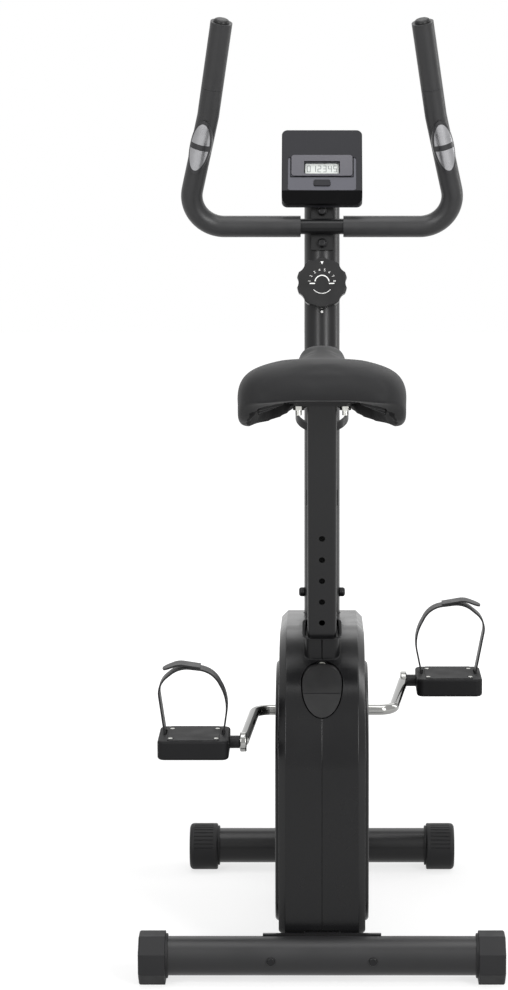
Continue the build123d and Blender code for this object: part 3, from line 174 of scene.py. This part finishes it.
# The saddle's open underside: bare matt moulding, its near-black a painted shade inside the hollow
hollow_shade_pp = finish("black_hollow_painted_shade", "#070708", "#0a0a0b", (0.6, 0.7), 1.5, 0.03,
                      specular=0.1, IOR=1.49)
# The saddle's moulded pan: rough and dark, with hardly a highlight
pan_pp = finish("black_pan_polypropylene", "#121213", "#171718", (0.55, 0.65), 1.5, 0.04, specular=0.3,
                IOR=1.49)
# NBR foam sleeve: matt, with open cells cut by the extruder
grip_foam = finish("black_nbr_foam", "#1d1d1e", "#242425", (0.38, 0.46), 0.9, 0.05, blotch_mm=18,
                   cells=True, specular=0.42, IOR=1.45, **{"Sheen Weight": 0.03, "Sheen Roughness": 0.6})
# Soft PVC strap: smooth, a little shiny where it is bent
strap_pvc = finish("black_strap_pvc", "#131314", "#19191a", (0.4, 0.5), 1.6, 0.03, blotch_mm=15,
                   specular=0.25, IOR=1.52)
# Chromed crank: a mirror with the bar's faint drawing lines under the plate
crank_chrome = finish("chrome_plate", "#868684", "#9a9a98", (0.06, 0.12), 3.0, 0.004, stretch=(6, 1, 6),
                      Metallic=1.0)
# Brushed stainless contact plates: fine lines along the arm
sensor_steel = finish("brushed_stainless", "#8c8c8e", "#9e9ea0", (0.26, 0.34), 0.7, 0.012, blotch_mm=12,
                      stretch=(1, 1, 0.04), Metallic=1.0)
# Zinc plate on nuts, studs and shafts: pale, slightly clouded
zinc_plate = finish("bright_zinc_plate", "#b9b9b4", "#d0d0cb", (0.22, 0.36), 1.5, 0.01, blotch_mm=6,
                    Metallic=1.0)
# Black oxide on bolts and screws: dark metal with a dull sheen
black_oxide = finish("black_oxide_steel", "#161617", "#1e1e1f", (0.34, 0.48), 1.2, 0.015, blotch_mm=6,
                     Metallic=0.7)
# Console case: ABS with a fine matt grain, a touch blue
console_abs = finish("console_abs", "#222225", "#28282b", (0.46, 0.54), 0.8, 0.025, blotch_mm=40,
                     specular=0.12, IOR=1.53)
# The case's lower lip: the same plastic, a little glossier, made deeper black as painted shade on its faces
# that point down
lip_shade_abs = finish("console_lip_painted_shade", "#0a0a0b", "#0d0d0e", (0.36, 0.44), 0.8, 0.01, blotch_mm=40,
                 specular=0.05, IOR=1.53)
# Painted grey console face: silkier and paler than the case
face_grey = finish("grey_console_paint", "#44444b", "#4b4b52", (0.34, 0.42), 0.7, 0.012, blotch_mm=30,
                   specular=0.3, IOR=1.5)
# Polished grey acrylic frame round the display: smooth, with clear reflections
lens_acrylic = finish("grey_acrylic", "#3f3e45", "#45444b", (0.16, 0.24), 2.0, 0.004, blotch_mm=40,
                      specular=0.4, IOR=1.49)
# Display glass over its pale reflector: even light grey, a little shiny
display_glass = finish("pale_display", "#b6b9b6", "#bfc2bf", (0.24, 0.32), 1.0, 0.002, specular=0.3,
                       IOR=1.5)
# Liquid crystal segments: soft grey on the pale glass
segment_grey = finish("display_segments", "#5c5f60", "#686b6c", (0.3, 0.36), 1.0, 0.002, specular=0.3,
                      IOR=1.5)
# Painted shadow: near-black strips for the shadow lines round the display and its frame and in the lock
# knob's crease, from which no light comes back
shadow_line_black = finish("black_painted_shadow", "#0a0a0d", "#0d0d10", (0.5, 0.6), 1.0, 0.004, specular=0.1, IOR=1.5)
# Printed white ink: flat and slightly chalky
white_ink = finish("white_ink", "#dededb", "#e8e8e6", (0.45, 0.55), 0.5, 0.004, IOR=1.5)
# Moulded ABS of the sensor holders: glossy, so that they show beside the foam
holder_abs = finish("dark_sensor_abs", "#1b1b1d", "#212123", (0.28, 0.36), 1.0, 0.01, blotch_mm=15,
                    specular=0.4, IOR=1.53)
# Turned cast iron: grey, with fine tool marks
cast_iron = finish("turned_cast_iron", "#5a5957", "#6b6a67", (0.4, 0.55), 0.8, 0.02, blotch_mm=25,
                   Metallic=1.0)
# Bare pressed steel: clouded grey with a soft shine
pressed_steel = finish("pressed_steel", "#85857f", "#98988f", (0.32, 0.46), 1.6, 0.015, blotch_mm=20,
                       Metallic=1.0)
# Rubber of the drive belt and the cable's sheath: dull black
belt_rubber = finish("black_belt_rubber", "#161617", "#1c1c1d", (0.6, 0.72), 1.0, 0.05, blotch_mm=12,
                     specular=0.3, IOR=1.5)
# Acetal of the bush and the big pulley: even black with a waxy sheen
acetal = finish("black_acetal", "#181819", "#1e1e1f", (0.4, 0.5), 1.2, 0.02, blotch_mm=30, specular=0.3,
                IOR=1.48)
# Circuit board: deep green under a glossy lacquer
board_lacquer = finish("green_board_lacquer", "#1d4a2c", "#245a36", (0.25, 0.35), 1.5, 0.01, blotch_mm=10,
                       IOR=1.5)

# What each CAD piece is made of, and how round its edges are
DRESSED = [
    # The rear stabiliser takes the greyer copy of the coat: painted light
    (lit_rear_coat, "metal", ["rear_stabiliser"]),
    (powder_coat, "metal", ["front_stabiliser", "main_frame", "front_post", "seat_post", "handlebar",
                            "bottle_cage", "console_stay"]),
    (cap_pp, "moulding", ["rear_cap_left", "rear_cap_right", "front_cap_left", "front_cap_right"]),
    (cap_pp, "inside", ["roller_left", "roller_right"]),
    (black_oxide, "small", ["stabiliser_bolts", "post_bolts", "pan_screws"]),
    (zinc_plate, "small", ["saddle_hardware", "lock_pin", "lock_sleeve"]),
    (zinc_plate, "inside", ["roller_pins", "magnet_pin", "flywheel_shaft", "bearings"]),
    (shell_abs, "shell", ["shell_left", "shell_right", "side_cover_left", "side_cover_right"]),
    (acetal, "inside", ["seat_bush", "drive_pulley"]),
    (knob_nylon, "moulding", ["lock_knob", "dial_knob", "dial_base"]),
    (knob_nylon, "small", ["end_plugs"]),
    (pan_pp, "small", ["saddle_pan"]),
    (crank_chrome, "inside", ["crank"]),
    (black_oxide, "small", ["pedal_spindles"]),
    (pedal_pp, "small", ["left_pedal", "right_pedal"]),
    (strap_pvc, "small", ["left_pedal_strap", "right_pedal_strap"]),
    (belt_rubber, "inside", ["belt", "tension_cable"]),
    (cast_iron, "inside", ["flywheel"]),
    (pressed_steel, "inside", ["magnet_bracket", "magnets"]),
    (grip_foam, "inside", ["lower_grip_left", "lower_grip_right", "upper_grip_left", "upper_grip_right"]),
    (holder_abs, "small", ["sensor_holders"]),
    (sensor_steel, "inside", ["sensor_plates"]),
    (console_abs, "small", ["console_front", "console_back", "console_button"]),
    (face_grey, "inside", ["console_face"]),
    (lens_acrylic, "inside", ["console_lens"]),
    (display_glass, "inside", ["console_lcd"]),
    (board_lacquer, "inside", ["console_board"]),
]


# Shading and edges


def edge_shading():
    """Modifier group that shades smooth across gentle edges and keeps sharp ones sharp."""
    tree = bpy.data.node_groups.new("edge_shading", "GeometryNodeTree")
    tree.is_modifier = True
    for way in ("INPUT", "OUTPUT"):
        tree.interface.new_socket("Geometry", in_out=way, socket_type="NodeSocketGeometry")
    start = add(tree, "NodeGroupInput")
    angle = add(tree, "GeometryNodeInputMeshEdgeAngle")
    gentle = add(tree, "FunctionNodeCompare", {0: (angle, "Unsigned Angle"), 1: radians(EDGE_ANGLE)},
                 operation="LESS_THAN")
    faces = add(tree, "GeometryNodeSetShadeSmooth", {"Geometry": (start, "Geometry")}, domain="FACE")
    edges = add(tree, "GeometryNodeSetShadeSmooth", {
        "Geometry": (faces, "Geometry"), "Shade Smooth": (gentle, "Result")}, domain="EDGE")
    add(tree, "NodeGroupOutput", {"Geometry": (edges, "Geometry")})
    return tree


EDGE_SHADING = edge_shading()


def shade(piece):
    """Adds the shading modifier to a piece."""
    piece.modifiers.new("edge_shading", "NODES").node_group = EDGE_SHADING


def round_edges(piece, width_mm, clamp):
    """Rounds the sharp edges of a CAD piece by a small radius, less near small features if clamped."""
    flats = piece.modifiers.new("flats", "DECIMATE")
    flats.decimate_type = "DISSOLVE"
    flats.angle_limit = radians(FLAT_ANGLE)
    bevel = piece.modifiers.new("round_edges", "BEVEL")
    bevel.width = width_mm * MM
    bevel.segments = 2
    bevel.limit_method = "ANGLE"
    bevel.angle_limit = radians(EDGE_ANGLE)
    bevel.miter_outer = "MITER_ARC"
    bevel.use_clamp_overlap = clamp


def keep_flats(piece):
    """Keeps the shading of large flat faces flat beside their rounded edges."""
    flat = piece.modifiers.new("keep_flats", "WEIGHTED_NORMAL")
    flat.weight = 100
    flat.keep_sharp = True


def dress(name, material, edges):
    """Gives a CAD piece its material, rounded edges and shading."""
    piece = NODES[name]
    for slot in piece.material_slots:
        slot.material = material
    weld = piece.modifiers.new("weld", "WELD")
    weld.merge_threshold = WELD_WITHIN * MM
    if ROUND[edges]:
        round_edges(piece, ROUND[edges], edges != "shell")
    shade(piece)
    if ROUND[edges]:
        keep_flats(piece)


for made_of, edge_kind, names in DRESSED:
    for node_name in names:
        dress(node_name, made_of, edge_kind)


# Faces of the lip that get the painted shade point down at least this much
LIP_DOWN = -0.1


def paint_lip_shade():
    """Paints shade on the lower lip of the console's case: its faces that point down and back get the darker
    copy of the plastic.
    """
    mesh = NODES["console_front"].data
    mesh.materials.append(lip_shade_abs)
    for face in mesh.polygons:
        if face.normal.z < LIP_DOWN and face.normal.y < 0:
            face.material_index = len(mesh.materials) - 1


paint_lip_shade()


# New pieces


def new_object(name, bm):
    """Makes an object of a bmesh, at the origin."""
    mesh = bpy.data.meshes.new(name)
    bm.to_mesh(mesh)
    bm.free()
    made = bpy.data.objects.new(name, mesh)
    bpy.context.scene.collection.objects.link(made)
    return made


def new_piece(name, bm, material, body):
    """Makes a named piece of a bmesh, in a material, riding on a body."""
    piece = new_object(name, bm)
    piece.data.materials.append(material)
    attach(piece, body)
    return piece


# Thickness of a print
INK = 0.12 * MM
RIGHT = Vector((1, 0, 0))
UP = Vector((0, 0, 1))


def facing(origin, outward):
    """Matrix of a flat place: X to the right, Z out of the surface."""
    z = outward.normalized()
    y = z.cross(RIGHT).normalized()
    x = y.cross(z)
    turn = Matrix((x, y, z)).transposed().to_4x4()
    return Matrix.Translation(origin) @ turn


def reach(name, origin, direction):
    """How far a CAD piece stands out from a point along a direction."""
    return max((vertex.co - origin).dot(direction) for vertex in NODES[name].data.vertices)


def surface(name, start, direction):
    """Place and outward direction where a straight line first meets a CAD piece."""
    mesh = NODES[name].data
    faces = BVHTree.FromPolygons([v.co for v in mesh.vertices], [f.vertices for f in mesh.polygons])
    place, outward, _, _ = faces.ray_cast(start, direction)
    return place, outward


def thicken(bm, outward):
    """Gives flat faces the thickness of a print, outwards."""
    raised = bmesh.ops.extrude_face_region(bm, geom=bm.faces[:])
    lifted = [part for part in raised["geom"] if isinstance(part, bmesh.types.BMVert)]
    bmesh.ops.translate(bm, verts=lifted, vec=outward * INK)
    bmesh.ops.recalc_face_normals(bm, faces=bm.faces)


def printed(name, bm, place, material, body):
    """Makes a print, drawn flat in the XY plane, at a place."""
    thicken(bm, UP)
    bmesh.ops.transform(bm, matrix=place, verts=bm.verts)
    return new_piece(name, bm, material, body)


def move(x_mm, y_mm, z_mm=0.0):
    """Matrix of a shift."""
    return Matrix.Translation((x_mm * MM, y_mm * MM, z_mm * MM))


def arc_strip(bm, inner_mm, outer_mm, start_deg, end_deg, steps):
    """Flat curved strip round the origin, clockwise from straight up."""
    turn = Matrix.Rotation(radians(-start_deg), 4, "Z")
    ends = [bm.verts.new(turn @ Vector((0, radius * MM, 0))) for radius in (inner_mm, outer_mm)]
    edge = bm.edges.new(ends)
    bmesh.ops.spin(bm, geom=[*ends, edge], cent=(0, 0, 0), axis=(0, 0, -1),
                   angle=radians(end_deg - start_deg), steps=steps)


def flat_bar(bm, width_mm, height_mm, place):
    """Flat rectangle at a place."""
    corners = bmesh.ops.create_grid(bm, x_segments=1, y_segments=1, size=0.5 * MM)["verts"]
    bmesh.ops.transform(bm, matrix=place @ Matrix.Diagonal((width_mm, height_mm, 1, 1)), verts=corners)


def flat_text(bm, words, size_mm, place):
    """Flat text, its middle at a place."""
    curve = bpy.data.curves.new("lettering", "FONT")
    curve.body = words
    curve.size = size_mm * MM
    curve.align_x = curve.align_y = "CENTER"
    holder = bpy.data.objects.new("lettering", curve)
    bpy.context.scene.collection.objects.link(holder)
    mesh = bpy.data.meshes.new_from_object(holder)
    mesh.transform(place)
    bm.from_mesh(mesh)
    bpy.data.objects.remove(holder)
    bpy.data.curves.remove(curve)
    bpy.data.meshes.remove(mesh)


# Print on the resistance knob: radii and sizes in mm, turns in degrees clockwise from straight up
DIAL_ARC_R = (9.2, 10.6)
DIAL_ARC_TURN = 82
DIAL_BAR = (7.5, 1.5)
DIAL_BAR_X = 13.5
DIAL_BAR_Y = -1.5
DIAL_FOOT_R = (15.0, 15.8)
DIAL_FOOT_TURNS = (130, 230)
DIAL_FIGURES = 8
DIAL_FIGURE_SIZE = 5.0
DIAL_FIGURE_R = 17.5
DIAL_FIRST_TURN = -84
DIAL_STEP_TURN = 24
DIAL_POINTER = [(0, 25.0), (2.2, 29.5), (-2.2, 29.5)]


def dial_print():
    """White scale on the resistance knob: numbers, an arc with two end bars, and a pointer."""
    joint = JOINTS["resistance_turn"]
    outward = Vector(joint["axis"])
    centre = Vector(joint["pos_m"])
    face = facing(centre + outward * reach("dial_knob", centre, outward), outward)
    bm = bmesh.new()
    arc_strip(bm, *DIAL_ARC_R, -DIAL_ARC_TURN, DIAL_ARC_TURN, steps=24)
    for side in (-1, 1):
        flat_bar(bm, *DIAL_BAR, move(side * DIAL_BAR_X, DIAL_BAR_Y))
    arc_strip(bm, *DIAL_FOOT_R, *DIAL_FOOT_TURNS, steps=16)
    for step in range(DIAL_FIGURES):
        turn = Matrix.Rotation(-radians(DIAL_FIRST_TURN + DIAL_STEP_TURN * step), 4, "Z")
        flat_text(bm, str(step + 1), DIAL_FIGURE_SIZE, turn @ move(0, DIAL_FIGURE_R))
    bm.faces.new([bm.verts.new((x * MM, y * MM, 0)) for x, y in DIAL_POINTER])
    return printed("dial_print", bm, face, white_ink, "resistance_dial")


# Dot on the front post, in mm: how far it is below the knob's axis, its radius, and how far out the straight
# line starts that finds the post
MARK_DOWN = 38.5
MARK_R = 1.9
RAY_START = 100


def post_mark():
    """White dot on the front post, just below the resistance knob."""
    joint = JOINTS["resistance_turn"]
    outward = Vector(joint["axis"])
    down = RIGHT.cross(outward)
    below = Vector(joint["pos_m"]) + (down * MARK_DOWN + outward * RAY_START) * MM
    spot, outward = surface("front_post", below, -outward)
    bm = bmesh.new()
    bmesh.ops.create_circle(bm, cap_ends=True, radius=MARK_R * MM, segments=20)
    return printed("post_mark", bm, facing(spot, outward), white_ink, "frame")


CONSOLE_OUT = -Vector(JOINTS["button_press"]["axis"])
# Display figures, in mm: each is made of bars with the usual letters
FIGURES = "012345"
FIGURE_PITCH = 7.4
FIGURE_W = 4.2
FIGURE_H = 9.4
FIGURE_BAR = 0.9
SEGMENTS = {"0": "abcdef", "1": "bc", "2": "abged", "3": "abgcd", "4": "fgbc", "5": "afgcd"}


def display_digits():
    """Seven-bar figures on the display."""
    low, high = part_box("console_lcd")
    middle = (low + high) / 2
    middle += CONSOLE_OUT * reach("console_lcd", middle, CONSOLE_OUT)
    w, h = FIGURE_W, FIGURE_H
    flat, upright = (w, FIGURE_BAR), (FIGURE_BAR, h / 2)
    bars = {"a": (0, h / 2, flat), "g": (0, 0, flat), "d": (0, -h / 2, flat),
            "f": (-w / 2, h / 4, upright), "b": (w / 2, h / 4, upright),
            "e": (-w / 2, -h / 4, upright), "c": (w / 2, -h / 4, upright)}
    bm = bmesh.new()
    for place, figure in enumerate(FIGURES):
        left = (place - (len(FIGURES) - 1) / 2) * FIGURE_PITCH
        for bar in SEGMENTS[figure]:
            x, y, size = bars[bar]
            flat_bar(bm, *size, move(left + x, y))
    return printed("display_digits", bm, facing(middle, CONSOLE_OUT), segment_grey, "frame")


# Painted shadow lines of the console, in mm: what lies inside, what it lies in, the opening's width and
# height, the width of the two side lines, how far they pass the opening's top, and the cross line's height
# and place
SHADOW_LINES = [
    ("console_lens", "console_face", (86.0, 33.0), 1.5, -3.0, (1.5, -17.25)),
    ("console_lcd", "console_lens", (47.0, 16.2), 1.6, 2.6, (2.6, 9.4)),
]


def console_shadow_lines():
    """Painted shadow lines: round the sides and foot of the display's frame, and over and beside the display.
    """
    bm = bmesh.new()
    for inside, on, (wide, tall), line, past_top, (cross_tall, cross_y) in SHADOW_LINES:
        low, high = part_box(inside)
        middle = (low + high) / 2
        level = facing(middle + CONSOLE_OUT * reach(on, middle, CONSOLE_OUT), CONSOLE_OUT)
        for side in (-1, 1):
            flat_bar(bm, line, tall + past_top, level @ move(side * (wide + line) / 2, past_top / 2))
        flat_bar(bm, wide + 2 * line, cross_tall, level @ move(0, cross_y))
    thicken(bm, CONSOLE_OUT)
    return new_piece("console_shadow_lines", bm, shadow_line_black, "frame")


# Painted shadow line in the step across the lock knob, in mm: its height above the floor, width and thickness
STEP_Z = 365
STEP_W = 49
STEP_LINE = 1.0


def knob_crease_shadow():
    """Painted shadow line across the lock knob, where its two faces meet."""
    spot, outward = surface("lock_knob", Vector((0, -1, STEP_Z * MM)), Vector((0, 1, 0)))
    bm = bmesh.new()
    flat_bar(bm, STEP_W, STEP_LINE, Matrix.Identity(4))
    return printed("knob_crease_shadow", bm, facing(spot, outward), shadow_line_black, "lock_plunger")


# Foam strips, in mm: the middle of the right one, and its size
SEAL_PLACE = (23, -217, 50.2)
SEAL_SIZE = (1.9, 22, 11.4)


def base_seals():
    """Foam strips in the shell's notch, beside the frame's base tube."""
    bm = bmesh.new()
    for side in (-1, 1):
        strip = bmesh.ops.create_cube(bm, size=MM)["verts"]
        place = move(side * SEAL_PLACE[0], *SEAL_PLACE[1:])
        bmesh.ops.transform(bm, matrix=place @ Matrix.Diagonal((*SEAL_SIZE, 1)), verts=strip)
    return new_piece("base_seals", bm, belt_rubber, "frame")


# Pedal screws, in mm: radii of the head's foot and top, its depth, and where they are on the tread
SCREW_R = (3.7, 3.1)
SCREW_DEEP = 2.2
SCREW_SUNK = 1.2
SCREW_X = 30
SCREW_Y = 28


def pedal_screws(side, body):
    """Four countersunk screws in the tread of one pedal."""
    low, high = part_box(f"{side}_pedal")
    middle = (low + high) / 2
    bm = bmesh.new()
    for across in (-1, 1):
        for fore in (-1, 1):
            head = bmesh.ops.create_cone(bm, cap_ends=True, segments=20, radius1=SCREW_R[0] * MM,
                                         radius2=SCREW_R[1] * MM, depth=SCREW_DEEP * MM)["verts"]
            spot = Vector((across * SCREW_X, fore * SCREW_Y, -SCREW_SUNK)) * MM
            bmesh.ops.translate(bm, verts=head, vec=Vector((middle.x, middle.y, high.z)) + spot)
    return new_piece(f"{side}_pedal_screws", bm, zinc_plate, body)


# The saddle


# Points of the CAD pad that are this close are one, in mm
MERGE_WITHIN = 0.01
# Size of the cover's even mesh, and how far inside the pad the cover starts
VOXEL = 3.0 * MM
START_IN = 1.5 * MM
# The underside's vertices point down at least this much
UNDERSIDE = -0.25
# Open underside, from the rear rim to the nose: place along the bike and half-width, in mm
HOLLOW = [(-254, 86), (-225, 91), (-190, 85), (-155, 65), (-120, 43), (-80, 29), (-60, 20)]
# Height of the hollow's middle and its half-height, in mm
HOLLOW_Z = 726
HOLLOW_UP = 38
# Faces up to this far past the hollow, in mm, belong to it if they look in at it at least this much
HOLLOW_PAST = 6
HOLLOW_BEHIND = 3
LOOKS_IN = 0.2
# How far the lower edge of the nose hangs down, at places along the bike, in mm
NOSE_DROP = ([-228, -210, -195, -175, -150, -115, -70, -41, -27], [0, 5, 9, 9, 10, 10, 13, 9, 0])
# Share of that drop at heights, in mm
NOSE_FALL = ([735, 770], [1, 0])
# The cloth run: pressure of the filling, the most that the cover may swell, and frames
PRESSURE = 4.0
SWELL_MOST = 2.2 * MM
SETTLE_FRAMES = 20
TINY = 1e-9


def merged_copy(name, source):
    """Object holding a joined-up copy of a CAD piece's mesh."""
    bm = bmesh.new()
    bm.from_mesh(NODES[source].data)
    bmesh.ops.remove_doubles(bm, verts=bm.verts, dist=MERGE_WITHIN * MM)
    return new_object(name, bm)


def wing_hollow():
    """Cutter for the open underside of the saddle: a tube of ellipses."""
    bm = bmesh.new()
    upright = Matrix.Rotation(radians(90), 4, "X")
    for y, half in HOLLOW:
        ring = bmesh.ops.create_circle(bm, radius=MM, segments=32)["verts"]
        oval = Matrix.Diagonal((half, 1, HOLLOW_UP, 1)) @ upright
        bmesh.ops.transform(bm, matrix=move(0, y, HOLLOW_Z) @ oval, verts=ring)
    bmesh.ops.bridge_loops(bm, edges=bm.edges)
    bmesh.ops.holes_fill(bm, edges=bm.edges)
    bmesh.ops.recalc_face_normals(bm, faces=bm.faces)
    return new_object("wing_hollow", bm)


def settled_mesh(piece):
    """The piece's mesh as its modifiers leave it."""
    graph = bpy.context.evaluated_depsgraph_get()
    return bpy.data.meshes.new_from_object(piece.evaluated_get(graph))


def skin(bm):
    """The cover's vertices: all but those of the underside."""
    bm.normal_update()
    return [vertex for vertex in bm.verts if vertex.normal.z > UNDERSIDE]


def soften(bm, verts, passes):
    """Evens out a surface."""
    for _ in range(passes):
        bmesh.ops.smooth_vert(bm, verts=verts, factor=0.5,
                              use_axis_x=True, use_axis_y=True, use_axis_z=True)


def shade_hollow(mesh):
    """Gives the faces that look in at the hollow's middle line the underside's near-black finish, as painted
    shade.
    """
    mesh.materials.append(hollow_shade_pp)
    places, halves = zip(*HOLLOW)
    for face in mesh.polygons:
        x, y, z = face.center / MM
        within = places[0] - HOLLOW_BEHIND < y < places[-1]
        beside = abs(x) < interp(y, places, halves) + HOLLOW_PAST
        inward = Vector((-x, 0, HOLLOW_Z - HOLLOW_UP - z)).normalized()
        if within and beside and face.normal.dot(inward) > LOOKS_IN:
            face.material_index = 1


def inflate(piece):
    """Swells the cover over its filling with a short cloth run, the underside held."""
    mesh = piece.data
    start = [vertex.co.copy() for vertex in mesh.vertices]
    held = piece.vertex_groups.new(name="held")
    held.add([v.index for v in mesh.vertices if v.normal.z < UNDERSIDE], 1.0, "REPLACE")
    cloth = piece.modifiers.new("cover", "CLOTH")
    cloth.settings.vertex_group_mass = "held"
    cloth.settings.use_pressure = True
    cloth.settings.uniform_pressure_force = PRESSURE
    cloth.settings.effector_weights.gravity = 0.0
    cloth.point_cache.frame_end = SETTLE_FRAMES
    for step in range(1, SETTLE_FRAMES + 1):
        bpy.context.scene.frame_set(step)
    swollen = settled_mesh(piece)
    for vertex, before, after in zip(mesh.vertices, start, swollen.vertices):
        swell = after.co - before
        vertex.co = before + swell * min(1.0, SWELL_MOST / max(swell.length, TINY))
    piece.modifiers.remove(cloth)
    bpy.data.meshes.remove(swollen)
    bpy.context.scene.frame_set(1)


def hollowed(piece):
    """Cuts the open underside out of a piece and gives it one even mesh."""
    cutter = wing_hollow()
    hollow = piece.modifiers.new("hollow", "BOOLEAN")
    hollow.operation = "DIFFERENCE"
    hollow.object = cutter
    remesh = piece.modifiers.new("remesh", "REMESH")
    remesh.mode = "VOXEL"
    remesh.voxel_size = VOXEL
    even = settled_mesh(piece)
    piece.modifiers.clear()
    piece.data = even
    bpy.data.objects.remove(cutter)


def reshape(mesh, change):
    """Makes a change to a mesh as a bmesh."""
    bm = bmesh.new()
    bm.from_mesh(mesh)
    change(bm)
    bm.to_mesh(mesh)
    bm.free()


def hang_nose(bm):
    """Lets the lower edge of the nose hang, and draws the cover in before it swells."""
    for vertex in bm.verts:
        vertex.co.z -= interp(vertex.co.y / MM, *NOSE_DROP) * interp(vertex.co.z / MM, *NOSE_FALL) * MM
    soften(bm, bm.verts, 1)
    soften(bm, skin(bm), 2)
    bm.normal_update()
    for vertex in bm.verts:
        vertex.co -= vertex.normal * START_IN


def even_out(bm):
    """Takes the ripples of the cloth run out of the cover."""
    soften(bm, skin(bm), 4)
    soften(bm, bm.verts, 1)


def saddle_cushion():
    """Padded saddle made from the CAD pad's form."""
    piece = merged_copy("saddle_cushion", "saddle_pad")
    hollowed(piece)
    reshape(piece.data, hang_nose)
    inflate(piece)
    reshape(piece.data, even_out)
    piece.data.materials.append(saddle_pvc)
    shade_hollow(piece.data)
    piece.data.polygons.foreach_set("use_smooth", [True] * len(piece.data.polygons))
    finer = piece.modifiers.new("finer", "SUBSURF")
    finer.levels = finer.render_levels = 1
    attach(piece, "seat")
    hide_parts("saddle_pad")
    return piece


dial_print()
post_mark()
display_digits()
console_shadow_lines()
knob_crease_shadow()
base_seals()
for which in ("left", "right"):
    pedal_screws(which, f"{which}_pedal_set")
saddle_cushion()


# Floor, world, light and camera


def plainly_seen(tree):
    """Output that is 1 to the camera and in mirrors and glass, and 0 to the light on the bike."""
    ray = add(tree, "ShaderNodeLightPath")
    mirrored = add(tree, "ShaderNodeMath", {0: (ray, "Is Glossy Ray"), 1: (ray, "Is Transmission Ray")},
                   operation="MAXIMUM")
    return add(tree, "ShaderNodeMath", {0: (ray, "Is Camera Ray"), 1: (mirrored, "Value")},
               operation="MAXIMUM"), "Value"


def pale_floor():
    """Pale studio floor that keeps shadows near the bike and runs out to plain white."""
    bm = bmesh.new()
    bmesh.ops.create_grid(bm, x_segments=1, y_segments=1, size=FLOOR_HALF)
    floor = new_object("floor", bm)
    material = bpy.data.materials.new("pale_floor")
    material.use_nodes = True
    tree = material.node_tree
    tree.nodes.clear()
    place = add(tree, "ShaderNodeTexCoord")
    far = add(tree, "ShaderNodeVectorMath", {0: (place, "Object")}, operation="LENGTH")
    fade = add(tree, "ShaderNodeMapRange", {
        "Value": (far, "Value"), "From Min": FLOOR_FADE[0], "From Max": FLOOR_FADE[1], "To Min": FLOOR_LIFT},
        interpolation_type="SMOOTHSTEP")
    lift = add(tree, "ShaderNodeMath", {0: (fade, "Result"), 1: plainly_seen(tree)}, operation="MULTIPLY")
    matt = add(tree, "ShaderNodeBsdfDiffuse", {"Color": linear(FLOOR_GREY)})
    white = add(tree, "ShaderNodeEmission", {"Color": linear(WHITE), "Strength": (lift, "Value")})
    both = add(tree, "ShaderNodeAddShader", {0: (matt, "BSDF"), 1: (white, "Emission")})
    add(tree, "ShaderNodeOutputMaterial", {"Surface": (both, "Shader")})
    floor.data.materials.append(material)


def white_world():
    """White surroundings to the camera and in reflections, with a plain level of light."""
    world = bpy.data.worlds.new("studio")
    bpy.context.scene.world = world
    world.use_nodes = True
    tree = world.node_tree
    tree.nodes.clear()
    strength = add(tree, "ShaderNodeMapRange",
                   {"Value": plainly_seen(tree), "To Min": AMBIENT, "To Max": 1.0})
    sky = add(tree, "ShaderNodeBackground", {"Color": linear(WHITE), "Strength": (strength, "Result")})
    add(tree, "ShaderNodeOutputWorld", {"Surface": (sky, "Background")})


def softbox(name, place, aim, width, height, watts):
    """Rectangular lamp pointed at a place."""
    lamp = bpy.data.lights.new(name, "AREA")
    lamp.shape = "RECTANGLE"
    lamp.size = width
    lamp.size_y = height
    lamp.energy = watts
    box = bpy.data.objects.new(name, lamp)
    box.location = place
    box.rotation_euler = (Vector(aim) - Vector(place)).to_track_quat("-Z", "Y").to_euler()
    bpy.context.scene.collection.objects.link(box)


def photo_camera():
    """Camera at the photograph's place, its frame shifted so that the bike stands right of the middle."""
    lens = bpy.data.cameras.new("photo_camera")
    lens.sensor_width = SENSOR_MM
    lens.lens = FOCAL_PX / IMAGE_H * SENSOR_MM
    eye = bpy.data.objects.new("photo_camera", lens)
    eye.location = CAMERA_PLACE
    eye.rotation_euler = (radians(90 - CAMERA_PITCH), 0, 0)
    lens.shift_x = (IMAGE_W / 2 - BIKE_PX_X) / IMAGE_H
    bpy.context.scene.collection.objects.link(eye)
    bpy.context.scene.camera = eye


pale_floor()
white_world()
for box_name, values in SOFTBOXES.items():
    softbox(box_name, *values)
photo_camera()
bpy.context.scene.view_settings.view_transform = "Standard"
